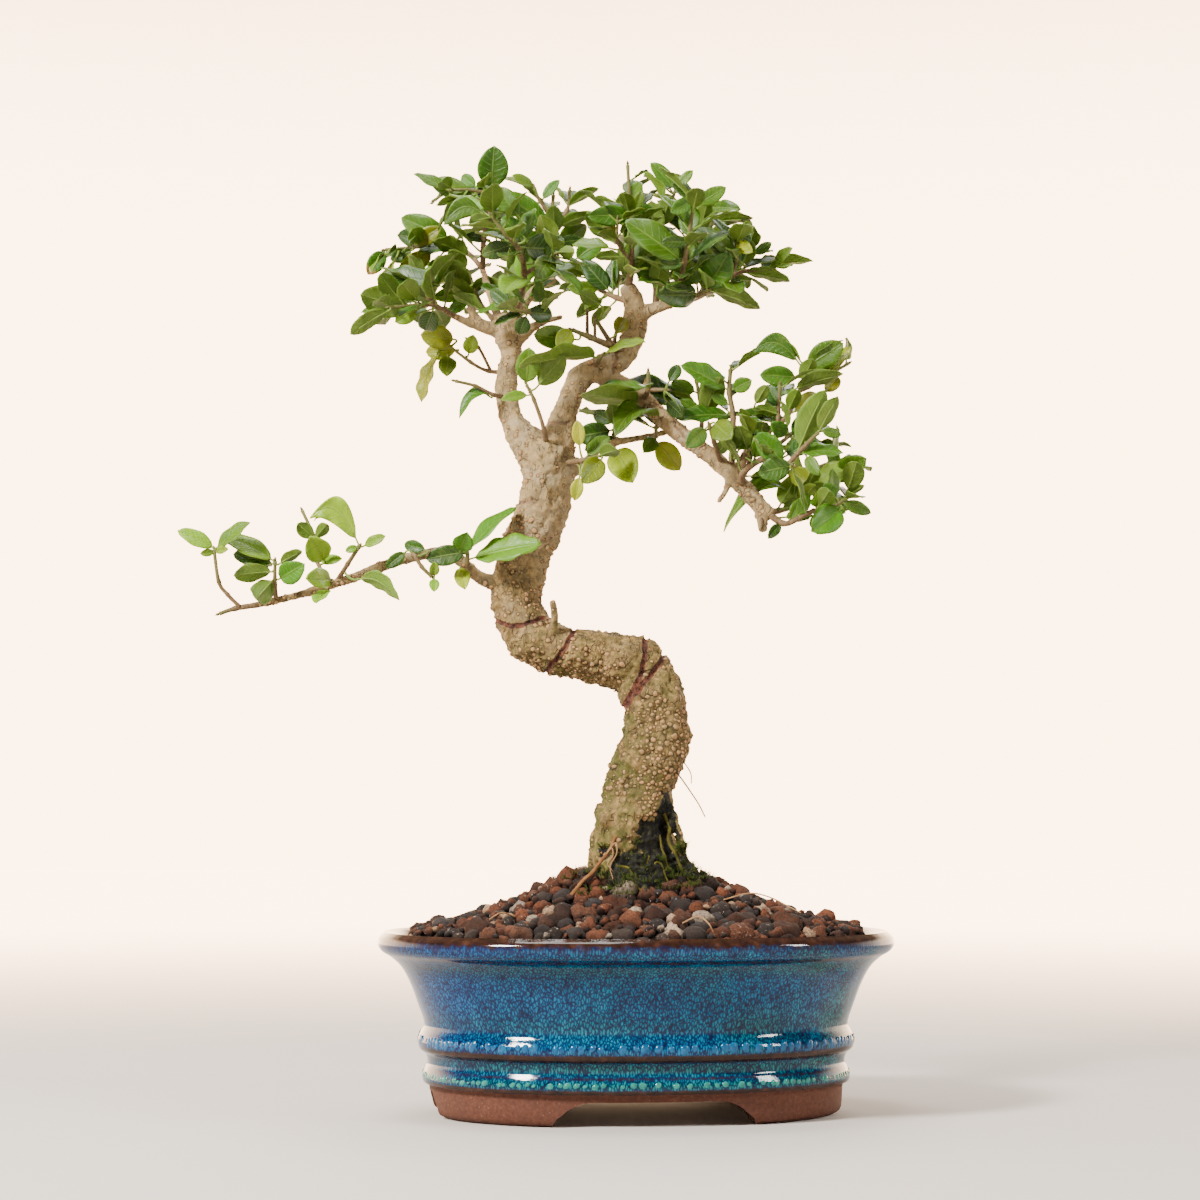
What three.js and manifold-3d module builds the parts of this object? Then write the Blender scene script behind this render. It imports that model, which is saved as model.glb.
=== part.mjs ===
// Chinese privet bonsai in its oval glazed pot.
// Millimetres, +Z up, the pot's long axis along X, origin under the middle of the whole.
// Places of the tree are written as they are seen from the front: across, height and depth,
// where depth runs away from the viewer, and placed() turns them into points.

import * as THREE from 'three';
import Module from 'manifold-3d';

const wasm = await Module();
wasm.setup();

// Pot: profile as half-lengths of the oval at each height.
const POT_LENGTH = 200;
const POT_DEPTH = 156;
const NARROWER = (POT_LENGTH - POT_DEPTH) / 2;
const OVAL_POWER = 2.2;
const POT_SIDES = 36;
const POT_OUTSIDE = [
  [76.6, 0], [79.2, 3], [79.8, 10], [82, 12.3], [82.3, 15], [80.7, 19.9], [83.3, 25.6],
  [84, 29], [82.2, 34], [83.4, 38], [87, 49], [90.3, 55], [96, 60], [100, 65], [97, 69.2],
];
const POT_INSIDE = [[92, 69], [89.6, 65], [74, 18]];
const POT_FLOOR_TOP = 14.5;
const POT_FLOOR_UNDER = 9.6;
const FLOOR_ROUNDING = 4;
const FOOT_INNER = 62;
const FOOT_TAPER = 2;
const FOOT_GAP_HEIGHT = 9.1;
const FRONT_GAP_HALF = 38;
const FRONT_GAP_TOP_HALF = 29;
const END_GAP_HALF = 15;
const END_GAP_TOP_HALF = 9;
// Half the outline of a gap: share of the way from the end of its top to the foot, and share of its height.
const GAP_STEPS = [[1, -0.1], [0.78, 0.33], [0.33, 0.55], [0, 0.89], [-0.44, 1]];
const DRAIN_RADIUS = 8;
const DRAIN_OFFSET = 34;
const DRAIN_SIDES = 12;
const DRAIN_LENGTH = 20;

// Soil: a mound of grains that fills the pot, as relief on one solid.
const SOIL_RINGS = 11;
const SOIL_GAP = 0.8;
const SOIL_PROFILE = [[0, 93], [0.22, 91.5], [0.36, 86], [0.55, 78.5], [0.72, 73.5], [0.86, 70.2], [1, 67.6]];
const SOIL_LEAN = 1.6;
const DIP = { deep: 7.5, x: 2, y: -22, halfLength: 24, halfDepth: 14 };
const GRAIN_RISE = 2.3;
const GRAIN_UNEVEN = 0.6;
const GRAIN_JITTER = 1.1;
const SOIL_BOTTOM = 14.9;
const SOIL_BOTTOM_HALF = 68.5;

// Tree: seen from this point in front, and turned a little against the pot.
const EYE_ACROSS = -14;
const EYE_DISTANCE = 1055;
const EYE_HEIGHT = 113.9;
const TREE_TURN = THREE.MathUtils.degToRad(-7);
const CLEARANCE = 0.32;
const SMALLEST_EDGE = 0.02;

// Leaves.
const BLADE_THICKNESS = 0.7;
const BLADE_FOLD = 0.28;
const WIDTH_TO_LENGTH = 0.42;
const STALK_HALF = 0.6;
const SMALLEST_LEAF = 9;
const SMALLEST_FAR_LEAF = 13;
const LONG_LEAF = 20;
const SHORT_LEAF = 13.5;
const LONG_STALK = 3;
const STALK_SLANT = 0.3;
const ARCH = 0.05;
const WIDEST_TO_LENGTH = 0.6;
const STATIONS = [[0.34, 0.97], [0.72, 0.82]];
const LONG_STATIONS = [[0.24, 0.78], [0.52, 1], [0.8, 0.66]];
const LEAN_OF_TONE = { D: -0.25, M: 0.1, F: 0.2, P: 0.35, Y: 0.08 };
const LEAN_SPREAD = 0.5;

// Tests that keep leaves apart: places on a blade, the leans tried and the room wanted.
const SAMPLE_SHARES = [[0.4, 0.9], [0.6, 0.95], [0.8, 0.66], [1, 0]];
const SHIFTS = [0, -5, 5, -10, 10, -16, 16];
const ENOUGH_ROOM = 2.2;

const TRUNK_SIDES = 10;
const LEADER_SIDES = 8;
const BRANCH_SIDES = 6;
const STUB_SIDES = 5;
const TWIG_SIDES = 3;
const ITEMS_PER_SPRAY = 20;
const FAR_ITEMS = 1000;

// Woody routes: across, height, depth, radius.
const TRUNK = [
  [1, 58, 0, 16], [1, 74, 0, 18.5], [1, 88, 0, 19], [-0.8, 100, 0, 17.2], [-0.4, 108, -1, 16],
  [1.2, 116, -2, 13.8], [1.6, 124, -2, 12.9], [3.9, 131, -2, 13.2], [7, 140, -2, 13.3], [8.2, 148, -1, 13],
  [7.2, 156, -1, 12.3], [4.7, 164, 0, 12], [0.4, 170.5, 0, 11.4], [-6.3, 173.8, 0, 10.7],
  [-15, 175.3, 0, 10.2], [-26.6, 177.5, 1, 9.8], [-35.5, 180.5, 2, 10.2], [-42.5, 186.5, 3, 10.5], [-46.2, 194, 3, 10],
  [-46.5, 202, 3, 9.3], [-45, 210, 2, 9.7], [-43.2, 217.5, 2, 9.9], [-39.8, 225, 1, 10.2],
  [-37, 233, 1, 10.4], [-35, 241, 0, 9.9], [-34.2, 249, 0, 10.2], [-35, 257, 0, 9.5], [-35.5, 262.5, 0, 5],
];
const LEADERS = [
  [[-35, 250, 0, 8.5], [-40.5, 257.5, 0, 7.4], [-45.7, 264, 1, 5.7], [-49.8, 272, 2, 4.4],
    [-51, 280, 2, 4.6], [-50.4, 288, 1, 4.3], [-49, 295.5, 0, 4.5], [-50.4, 302, 0, 5.3],
    [-51, 308, 0, 5.2], [-51, 311, 0, 2.8]],
  [[-34, 250, 0, 8.5], [-31.5, 257.5, 0, 7.4], [-29.7, 264, 0, 6], [-27.7, 272, 0, 4.9], [-25, 280, 0, 4.9],
    [-21, 286.5, 0, 5], [-14, 290, -1, 5], [-6.5, 293, -1, 5], [-1.6, 301, 0, 4.6], [0.4, 309, 0, 4.8],
    [-1, 316, 1, 3.9], [-3, 322.5, 1, 3.3]],
];
const BRANCHES = [
  [[-2, 306, 0, 3], [3, 311, 0, 3.2], [8, 313.5, -2, 2.5], [15, 316, -4, 2.1], [25, 318.5, -6, 1.6],
    [34, 323, -8, 1.2]],
  [[-20, 288, 0, 3.6], [-12, 286, -2, 4], [3, 277, -5, 3.7], [16, 265, -9, 3.4], [35, 250, -13, 3.3],
    [46, 238, -15, 3.1], [53, 231, -16, 3]],
  [[-33, 249, 4, 3], [-20, 251, 7, 2.3], [-15, 257, 8, 1.7], [-8, 260, 9, 1.5], [5, 262.5, 10, 1.3],
    [20, 266, 11, 1.1]],
  [[-45, 201, 3, 4], [-57, 205, 0, 2.7], [-63, 208, 0, 2.4], [-68, 213, -1, 2.4], [-75, 216.3, -2, 2.4],
    [-85, 215.5, -3, 2.3], [-100, 211, -5, 2.1], [-110, 207, -6, 1.9], [-130, 200.5, -8, 1.6],
    [-150, 195.5, -10, 1.3]],
  [[-50, 303, 0, 3], [-58, 305, -1, 2.2], [-65, 307.5, -4, 1.8], [-73, 311, -7, 1.2]],
  [[-51, 306, 0, 2.6], [-55, 312, 4, 1.7], [-58, 321, 10, 1.5], [-61, 331, 16, 1.2]],
  [[-50, 305, 0, 3], [-47, 311, 2, 2.6], [-43, 317, 5, 2.1], [-38, 322.5, 9, 1.6], [-32, 325, 12, 1.3]],
  [[-48, 299, 0, 2.6], [-43, 304, -4, 2.2], [-37, 308, -9, 1.4], [-29, 310, -13, 1]],
];
const STUBS = [
  [[-29, 250, 0, 5], [-20.5, 251, -2, 3]],
  [[-33, 183, -6, 2.5], [-31.8, 191.6, -9, 1.6], [-32.8, 197.5, -10, 1.3]],
  [[-52, 304, 0, 3], [-61, 307.5, -4, 2.2], [-66, 314, -6, 1.4]],
  [[38, 247.5, -14, 2.4], [41, 251.5, -13, 2], [46.5, 260, -11, 1.6]],
  [[49, 236, -15, 2.4], [50, 225, -17, 1.9]],
  [[36, 249, -13, 1.6], [36, 242, -15, 1.2], [32.5, 236.5, -17, 1]],
  [[3, 277, -5, 2], [5, 286, -4, 1.2]],
];
const ROOTS = [
  [[6, 126, -4, 3.2], [12, 119, -7, 2.4], [16, 108, -9, 2.3], [19, 96, -9, 2.6], [25, 84, -8, 3],
    [28, 72, -7, 2.6]],
  [[-2, 115, -11, 1.2], [-6, 110, -15, 0.9], [-11.5, 101.5, -18, 0.85], [-18, 90, -21, 0.9],
    [-25, 77, -24, 0.85]],
  [[-8, 100, 0, 7], [-20, 88, 3, 4.5], [-31, 76, 5, 3.5]],
  [[2, 98, 8, 7], [6, 86, 20, 5], [8, 70, 30, 3.5]],
  [[0, 98, -9, 6], [2, 86, -18, 4.5], [5, 72, -25, 3]],
];

const BARK = new THREE.MeshStandardMaterial({ color: 0x7d7458, roughness: 0.85, metalness: 0 });
const GLAZE = new THREE.MeshStandardMaterial({ color: 0x1c3a6e, roughness: 0.18, metalness: 0 });
const SOIL = new THREE.MeshStandardMaterial({ color: 0x5b4034, roughness: 0.95, metalness: 0 });
const LEAF = new THREE.MeshStandardMaterial({ color: 0x4f7f2c, roughness: 0.45, metalness: 0 });

// Sprays: name, then twigs as routes (across, height, depth, radius), then leaves as
// base across and height, tip across and height, width as seen, tone, and rise of an arched one.
// Tones: D shaded behind, M mid green, F fresh, P pale underside towards the viewer, Y yellow-green.
const SPRAYS = [
  ['left_tip', [[[-148, 196, -10, 1.2], [-157, 194.5, -11, 1], [-163, 192.5, -12, 0.7]],
    [[-155, 195, -11, 0.9], [-160, 200, -12, 0.8], [-163.5, 205, -13, 0.8], [-165.5, 217.5, -14, 0.7]]],
    [[-165, 218, -180, 225, 6, 'F'], [-165, 218, -151, 228, 5, 'F'], [-165, 217, -171, 216, 3, 'F'],
      [-165, 217, -160, 218, 3, 'F']]],
  ['left_second', [[[-141, 198, -9, 1.1], [-141.5, 204, -11, 0.9], [-141.5, 213, -13, 0.7]]],
    [[-141.5, 213, -163, 222.5, 7, 'F'], [-142, 212, -158, 216, 7, 'D'], [-142, 209, -158, 207.5, 7, 'P'],
      [-142, 206, -149, 198, 9, 'P'], [-140, 212, -131, 217, 4, 'P'], [-140, 206, -130, 212, 9, 'M']]],
  ['left_third', [[[-118.5, 203.5, -6, 1.1], [-122, 208, -2, 0.9], [-125, 213, 2, 0.8], [-126, 222, 5, 0.8],
    [-131, 233, 8, 0.6]]],
    [[-126, 222, -133, 228, 6, 'P'], [-126, 222, -121, 228, 5, 'P'], [-122, 213, -128, 223, 10, 'F'],
      [-119, 206, -130, 206, 8, 'F'], [-121, 202, -125, 196, 5, 'F'], [-124, 213, -115, 214, 4, 'F']]],
  ['left_arched', [[[-117, 205.5, -6, 1.1], [-113, 212, -12, 0.9], [-108.5, 219, -17, 0.8]]],
    [[-108.5, 219, -128, 230, 10, 'F', 9], [-107, 219, -98, 223, 4, 'F'], [-109, 219, -114, 217, 3, 'F'],
      [-109, 206, -93.5, 197.5, 6, 'P', 3]]],
  ['left_under', [[[-87, 215, -3, 1.2], [-87, 215.8, -9, 0.9], [-84, 211, -10, 0.8], [-80, 207, -10, 0.7]]],
    [[-90, 217, -98, 210.5, 5, 'D'], [-82, 217.5, -91, 220, 5, 'D'], [-79, 207, -79, 213, 4, 'F'],
      [-79, 206.5, -79, 201, 4, 'F']]],
  ['left_root', [[[-66, 211.5, -1, 1.3], [-66, 212, -7, 1], [-66, 216, -9, 0.8]]],
    [[-66, 217, -82, 214, 8, 'D'], [-69, 217, -66, 225, 8, 'M'], [-66, 217, -47, 234.5, 5, 'M'],
      [-65, 214, -37, 219.5, 9, 'F'], [-69, 211, -67, 202, 6, 'Y']]],
  ['pad_crest', [[[3, 277, -5, 1.5], [5, 281, -12, 1], [5, 288, -14, 0.7]],
    [[5, 281, -12, 0.9], [12, 281, -14, 0.7]]],
    [[5, 282, -19, 278.5, 5, 'M'], [2, 275, -20, 278, 8, 'P'], [13, 284, 17.5, 291, 5, 'D'],
      [12, 277, 19, 270, 6, 'D']]],
  ['pad_upright', [[[27, 256.5, -11, 1.3], [26, 264, -6, 1.1], [26, 272, -1, 0.9], [24, 285, 3, 0.7]]],
    [[26, 271.5, -11, 283, 9, 'D'], [24, 280, 14, 284, 6, 'M'], [27, 276, 31, 286, 8, 'M'],
      [26, 272, 17, 277, 5, 'M']]],
  ['pad_vertical', [[[38, 247.5, -14, 1.5], [38, 254, -13, 1.3], [38.5, 270, -10, 1.1], [37, 280, -8, 1],
    [37.5, 289, -6, 0.8]]],
    [[36.5, 281, 18, 291, 8, 'M'], [37, 275, 30, 279, 4, 'M'], [38, 271, 16, 269, 6, 'D'],
      [38, 271, 60, 268, 5, 'D'], [38, 281, 46, 285, 6, 'M'], [37, 261, 31, 254, 5, 'P']]],
  ['pad_front', [[[34, 251, -13, 1.2], [31, 260, -21, 0.9], [29, 267, -25, 0.7]]],
    [[31, 268, 38, 261, 9, 'F'], [28, 266, 20, 258, 7, 'M']]],
  ['pad_inner', [[[6, 262.5, 10, 1.1], [8, 262.5, 4, 0.9], [8, 266, -1, 0.7]]],
    [[8, 262, 3, 256, 6, 'M'], [8, 261, 17.5, 249, 9, 'Y'], [9, 267, -8, 262, 6, 'M', 7],
      [9, 266, 0, 275, 6, 'D']]],
  ['pad_dark', [[[-8, 260, 9, 1.1], [-8.5, 263, 15, 0.9], [-8, 268, 20, 0.7]]],
    [[-9, 265, -24, 262, 9, 'D'], [-8, 268, -17, 272, 6, 'D'], [-7, 262, -20, 257, 7, 'D'],
      [-8, 258, -1, 244, 12, 'Y']]],
  ['pad_knob', [[[-27, 252, -5, 1.3], [-21, 253, -13, 1], [-15, 254.5, -14, 0.8]]],
    [[-22, 258, -23, 269, 5, 'Y'], [-13, 254, -21, 244, 9, 'Y'], [-22, 247, -24, 237, 5, 'Y']]],
  ['pad_top', [[[40, 244.5, -14, 1.7], [44, 256, -17, 1.3], [52, 264, -19, 1.2], [60, 271, -18, 1.1],
    [63, 279, -16, 1], [68, 282, -13, 0.9], [74, 285.5, -11, 0.8], [84, 291.5, -8, 0.6]],
    [[56, 267.5, -19, 0.9], [57, 283, -20, 0.7]], [[66, 281, -14, 0.8], [67, 291, -15, 0.7]]],
    [[65, 291, 46.5, 296, 8, 'M', 6], [67, 290, 82, 299.5, 10, 'M'], [76, 287, 85, 298, 5, 'Y'],
      [64, 286, 49, 287, 8, 'M'], [67, 287, 75, 289, 5, 'D'], [62, 281, 82, 287, 6, 'P'],
      [80, 287, 75, 280, 6, 'Y'], [47, 275, 52, 283, 5, 'P'], [57, 274, 52, 283, 6, 'D'],
      [62, 272, 73, 279, 8, 'Y'], [57, 271, 47, 274, 4, 'P']]],
  ['pad_fan', [[[42, 242.5, -14, 1.6], [42.5, 248, -22, 1.3], [50, 253.5, -28, 1.2], [56, 253, -31, 1.1],
    [62, 251, -33, 0.8]], [[60, 251.5, -32, 1], [66, 258, -34, 0.9], [72, 264, -35, 0.7]],
    [[50, 253.5, -28, 1], [56, 259, -27, 0.9], [61, 263, -26, 0.7]],
    [[44, 249.5, -23, 0.9], [47, 260, -23, 0.7]]],
    [[64, 257, 75, 281, 10, 'P'], [72, 264, 80, 278, 6, 'P'], [73, 265, 81, 263, 4, 'M'],
      [58, 252, 48, 264, 9, 'M'], [60, 263, 53, 268, 6, 'M'], [62, 262, 66, 271, 5, 'D'],
      [47, 262, 46, 270, 7, 'D'], [47, 261, 40, 258, 4, 'M'], [63, 256, 82, 256, 5, 'M'],
      [62, 251, 48, 248, 9, 'D'], [61, 250, 67, 245, 8, 'Y'], [67, 255, 72, 247, 5, 'M']]],
  ['pad_end', [[[51, 233, -16, 1.8], [58, 228, -19, 1.2], [64, 230, -22, 1.1], [70, 233, -23, 1],
    [75, 233, -24, 0.9], [83, 238, -25, 0.7]]],
    [[81, 234, 69, 225, 11, 'M'], [81, 236.5, 92.5, 232, 5, 'M'], [79, 238, 74, 244, 5, 'M'],
      [83, 239, 90, 243, 3, 'P'], [73, 233, 77, 239, 5, 'P'], [71, 234, 74, 242, 4, 'F'],
      [64, 231, 68, 240, 5, 'M'], [57, 228, 52, 222, 4, 'D']]],
  ['pad_back_end', [[[51, 233, -15, 1.6], [56, 233, -10, 1.2], [64, 236, -7, 1.1], [67, 243, -5, 1],
    [72, 250, -3, 0.9], [82, 253.5, -2, 0.7]]],
    [[63, 238, 36, 224, 6, 'M', 11], [66, 241, 90, 252, 8, 'F'], [80, 247, 91, 254, 10, 'M'],
      [80, 251, 76, 258, 5, 'M']]],
  ['top_left_reach', [[[-72, 310.6, -7, 1.1], [-78, 314, -11, 0.9], [-84, 315, -14, 0.8],
    [-97, 314, -18, 0.6]],
    [[-77, 313.5, -10, 0.8], [-82, 318, -13, 0.7], [-83, 322, -14, 0.6]]],
    [[-88, 313, -109, 319, 12, 'P'], [-97, 313, -112.5, 303, 6, 'P'], [-86, 313, -95, 308, 6, 'F'],
      [-80, 313, -83, 305, 8, 'D'], [-78, 323, -101, 326, 8, 'D']]],
  ['top_left_low', [[[-53, 306, 2, 1.3], [-57, 310, 8, 1.1], [-62, 317, 13, 0.9], [-66, 328, 17, 0.7]]],
    [[-65, 328, -78, 326, 5, 'D'], [-68, 329, -82, 331, 5, 'D'], [-66, 319, -57, 326, 4, 'P'],
      [-67, 322, -77, 322, 4, 'F'], [-67, 320, -80, 318, 6, 'P'], [-66, 317, -74, 312, 5, 'M']]],
  ['top_left_outer', [[[-61, 330, 15, 1.1], [-67, 336, 19, 1], [-78, 338.5, 20, 0.9], [-99, 337, 16, 0.6]]],
    [[-73, 341, -93, 350, 10, 'M'], [-78, 340, -94, 343, 8, 'D'], [-88, 339, -77, 346, 7, 'Y'],
      [-67, 338, -86, 336, 4, 'M'], [-80, 336, -94, 328, 8, 'Y'], [-88, 337, -97, 333, 6, 'D'],
      [-99, 337, -106, 327, 7, 'M']]],
  ['top_left_crown', [[[-60.5, 329, 15, 1.2], [-60, 342, 9, 1.1], [-58, 352, 5, 1], [-59, 359, 3, 0.9],
    [-66, 361, 1, 0.7], [-73, 361, 0, 0.6]]],
    [[-74, 361, -88, 367, 4, 'M'], [-64, 359, -81, 364.5, 8, 'M'], [-63, 362, -69, 367, 5, 'M'],
      [-64, 357, -79, 355, 4, 'P'], [-57, 361, -56, 379, 12, 'M'], [-55, 341, -58, 349, 5, 'M'],
      [-58, 341, -67, 343, 4, 'D'], [-50, 353, -63, 361, 8, 'D']]],
  ['top_left_front', [[[-47, 311, 2, 1.6], [-45, 319, -9, 1.3], [-44, 328, -19, 1.2], [-46, 337, -27, 1],
    [-52, 344, -31, 0.9], [-57, 350.5, -33, 0.7]],
  [[-44, 327, -18, 1], [-38, 331, -23, 0.9], [-32, 335, -26, 0.7]]],
    [[-46, 350, -55, 362, 8, 'M'], [-60, 351, -76, 347, 8, 'M', 5], [-57, 350, -66, 348, 5, 'P'],
      [-45, 338, -31, 337, 12, 'D'], [-44, 342, -53, 350, 7, 'M'], [-49, 339, -61, 335, 7, 'D'],
      [-33, 335, -39, 325, 8, 'M'], [-31, 336, -24, 336, 5, 'P']]],
  ['top_left_behind', [[[-33, 324.5, 12, 1.3], [-31, 333, 17, 1.1], [-32, 342, 20, 1], [-33, 350, 21, 0.9],
    [-32.5, 359, 21, 0.7]], [[-33, 349, 21, 0.8], [-38, 357, 20, 0.7], [-40, 362, 19, 0.6]],
  [[-32, 345, 20, 0.8], [-27, 353, 22, 0.7], [-26, 361, 23, 0.6]]],
    [[-36, 348, -43, 355, 5, 'D'], [-31, 346, -16, 352, 5, 'P'], [-31, 340, -21, 341, 5, 'D'],
      [-34, 346, -52, 360, 10, 'M'], [-24, 333, -13, 341, 8, 'M'], [-27, 354, -14.5, 362, 4, 'P'],
      [-34, 341, -48, 342, 4, 'M'], [-40, 362, -49, 367, 4, 'F'], [-37, 357, -30, 365, 4, 'M']]],
  ['top_left_inner', [[[-36, 308, -10, 1.3], [-38, 311, -17, 1], [-43, 312, -21, 0.8],
    [-48, 313, -23, 0.7]]],
    [[-49, 314, -57, 321, 6, 'D'], [-43, 312, -33, 311, 7, 'D'], [-43, 311, -46, 303, 6, 'D']]],
  ['fork_twig', [[[-35, 256, -3, 1.5], [-36, 265, -10, 1], [-40, 277, -13, 0.8], [-43, 283, -14, 0.7]]],
    [[-39, 282, -28, 295, 9, 'P'], [-43, 283, -42, 298, 9, 'F'], [-42, 279, -53, 277, 4, 'F']]],
  ['leader_wisp', [[[-50.5, 278, 2, 1.2], [-56, 279, -4, 0.8], [-63, 282.5, -6, 0.7],
    [-71, 284.5, -8, 0.6]]],
    [[-57, 278, -69.5, 269.6, 4, 'M', 5]]],
  ['leader_stalks', [[[-50.4, 288, 1, 1.2], [-58, 288.5, 6, 0.8], [-65, 292, 8, 0.7], [-78, 302, 11, 0.6]],
    [[-57, 288.4, 6, 0.7], [-62, 298, 9, 0.6], [-66, 301, 10, 0.6]]],
    [[-71, 301, -85, 303, 9, 'Y'], [-70, 297, -83, 296, 7, 'Y'], [-66, 295, -64, 303, 6, 'Y'],
      [-74, 295, -74.5, 286, 7, 'Y'], [-78, 296, -84, 276, 5, 'Y']]],
  ['elbow_shoot', [[[-17, 289, 0, 1.4], [-15, 292, -6, 1], [-13, 295, -9, 0.7]]],
    [[-14, 294, -45, 290, 6, 'P'], [-13, 295, 4, 300.5, 3, 'F']]],
  ['leader_brown', [[[-3, 297.5, 0, 1.8], [-8, 298, -7, 1.5], [-18, 302, -12, 1.2], [-25, 305, -14, 0.8]],
    [[-9, 298.5, -8, 1.2], [-15, 308, -9, 0.8]]],
    [[-23, 301, -40, 303, 9, 'P'], [-25, 305, -31, 298, 7, 'Y'], [-14, 315, -22, 320, 6, 'P'],
      [-8, 303, -4, 310, 6, 'Y']]],
  ['top_mid_upright', [[[-3, 320, 1, 1.8], [-1.5, 331, -5, 1.2], [-1.5, 341, -10, 1], [-2, 352, -13, 0.9],
    [-3, 371, -14, 0.6]], [[-2, 333, -6, 0.8], [-7, 340, -12, 0.7], [-7, 349, -15, 0.6]]],
    [[-1, 351, -19, 350.5, 8, 'M'], [-2, 357, 2, 364, 5, 'F'], [-0.5, 352, 3, 361, 4, 'F'],
      [0, 352, 7, 354, 4, 'M'], [-8, 343, -13, 350, 4, 'Y'], [-7, 341, -15, 344, 4, 'P'],
      [-5, 334, -16, 334, 4, 'P']]],
  ['top_mid_low', [[[-1.5, 316, 1, 1.6], [-8, 318, 8, 1.1], [-14, 321, 13, 0.9], [-18, 326, 15, 0.7]]],
    [[-10, 320, -21, 333, 8, 'D'], [-18, 327, -28, 331, 5, 'P'], [-9, 320, -8, 334, 5, 'D'],
      [-14, 321, -27, 322, 6, 'F'], [-13, 318, -20, 313, 5, 'P']]],
  ['top_right_lean', [[[8, 313.5, -2, 1.6], [8, 323, 4, 1.1], [7, 334, 9, 1], [9, 342, 12, 0.9],
    [14, 355, 15, 0.8], [17, 365, 16, 0.6]]],
    [[8, 322, 3, 337, 11, 'M'], [19, 350, 4, 353, 6, 'D'], [16, 361, 6, 372, 6, 'M'],
      [16, 361, 23, 369, 4, 'M'], [12, 349, 22, 350, 5, 'D']]],
  ['top_right_front', [[[17, 316.5, -4, 1.5], [18, 325, -16, 1.1], [19.5, 332, -23, 1], [21, 341, -27, 0.9],
    [23.5, 358, -30, 0.6]]],
    [[19, 332, -4, 349, 11, 'M'], [20, 332, 9, 331, 5, 'D'], [18, 324, 28, 329, 6, 'M'],
      [22, 340, 10, 340, 5, 'D'], [23, 357, 14, 352, 6, 'M'], [24, 356, 15, 364, 5, 'D'],
      [24, 355, 36, 362, 6, 'M']]],
  ['top_right_mid', [[[27, 319.5, -6, 1.3], [28, 329, 1, 1.1], [26, 338, 5, 0.9], [26, 346, 7, 0.8],
    [30, 355, 9, 0.6]]],
    [[28, 330, 27, 341, 5, 'D'], [26, 347, 46.5, 349, 6, 'P'], [25, 345, 36, 352, 5, 'M'],
      [30, 354, 42, 353, 6, 'M'], [27, 331, 18, 337, 5, 'D']]],
  ['top_right_twig', [[[33, 322.5, -8, 1.2], [38, 328, -15, 1], [40, 333, -19, 0.8], [40, 340, -22, 0.6]]],
    [[38, 344, 46, 341, 5, 'D'], [40, 340, 46.5, 336, 5, 'Y'], [43, 331, 21, 345.5, 6, 'D'],
      [40, 333, 30, 344, 6, 'F']]],
  ['top_right_tip', [[[33.5, 322.7, -8, 1.1], [41, 328, -8, 0.9], [50, 328.8, -9, 0.7],
    [54, 329.2, -10, 0.6]],
    [[42, 328, -8, 0.7], [47, 336, -8, 0.6]]],
    [[39, 327, 41, 318, 6, 'D'], [42, 328, 61, 324, 5, 'P'], [52, 330, 70.5, 332.5, 4, 'P'],
      [54, 329, 62, 338, 4, 'F'], [47, 335, 54, 340, 4, 'M']]],
  ['top_right_low', [[[22, 317.7, -5, 1.5], [25, 319, -13, 1.1], [29, 321, -16, 0.8]]],
    [[25, 319, 8, 319, 10, 'D'], [28, 321, 37, 336, 12, 'M'], [29, 321, 49, 313, 6, 'P']]],
];

// Sprays grown again on the far side of what carries them, a little smaller.
const FAR_SHRINK = 0.92;
const FAR_DEPTH = 1.5;
const NEAR_DEPTH = 1.3;
const FAR_SPRAYS = ['left_second', 'left_arched', 'pad_crest', 'pad_fan', 'pad_end', 'top_left_reach',
  'top_left_front', 'top_mid_upright', 'top_right_front', 'top_right_twig', 'top_right_low'];

const vec = (x, y, z) => new THREE.Vector3(x, y, z);
const TURN_AXIS = vec(0, 0, 1);
const FIRST_ACROSS = vec(0.3, 1, 0.2);

// A number from 0 to 1 that looks random but is always the same for the same two numbers.
function scatter(item, use) {
  const wave = Math.sin(item * 12.9898 + use * 78.233) * 43758.5453;
  return wave - Math.floor(wave);
}

// The point at a depth that is seen, from the front, at this distance across and height.
function placed(across, height, depth) {
  const spread = (EYE_DISTANCE + depth) / EYE_DISTANCE;
  return vec(EYE_ACROSS + (across - EYE_ACROSS) * spread, depth, EYE_HEIGHT + (height - EYE_HEIGHT) * spread)
    .applyAxisAngle(TURN_AXIS, TREE_TURN);
}

function solidFrom(points, faces) {
  const vertProperties = new Float32Array(points.flatMap((p) => [p.x, p.y, p.z]));
  const triVerts = new Uint32Array(faces.flat());
  return new wasm.Manifold(new wasm.Mesh({ numProp: 3, vertProperties, triVerts }));
}

function joined(solids) {
  return solids.reduce((whole, solid) => whole.add(solid));
}

function largest(solid) {
  return solid.decompose().reduce((best, piece) => (piece.volume() > best.volume() ? piece : best));
}

// Faces that close a stack of rings, all with the same number of points.
function ringFaces(rings, sides, closed) {
  const faces = [];
  const last = closed ? rings : rings - 1;
  for (let ring = 0; ring < last; ring += 1) {
    for (let side = 0; side < sides; side += 1) {
      const a = ring * sides + side;
      const b = ring * sides + (side + 1) % sides;
      const c = ((ring + 1) % rings) * sides + side;
      const d = ((ring + 1) % rings) * sides + (side + 1) % sides;
      faces.push([a, b, d], [a, d, c]);
    }
  }
  return faces;
}

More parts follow.
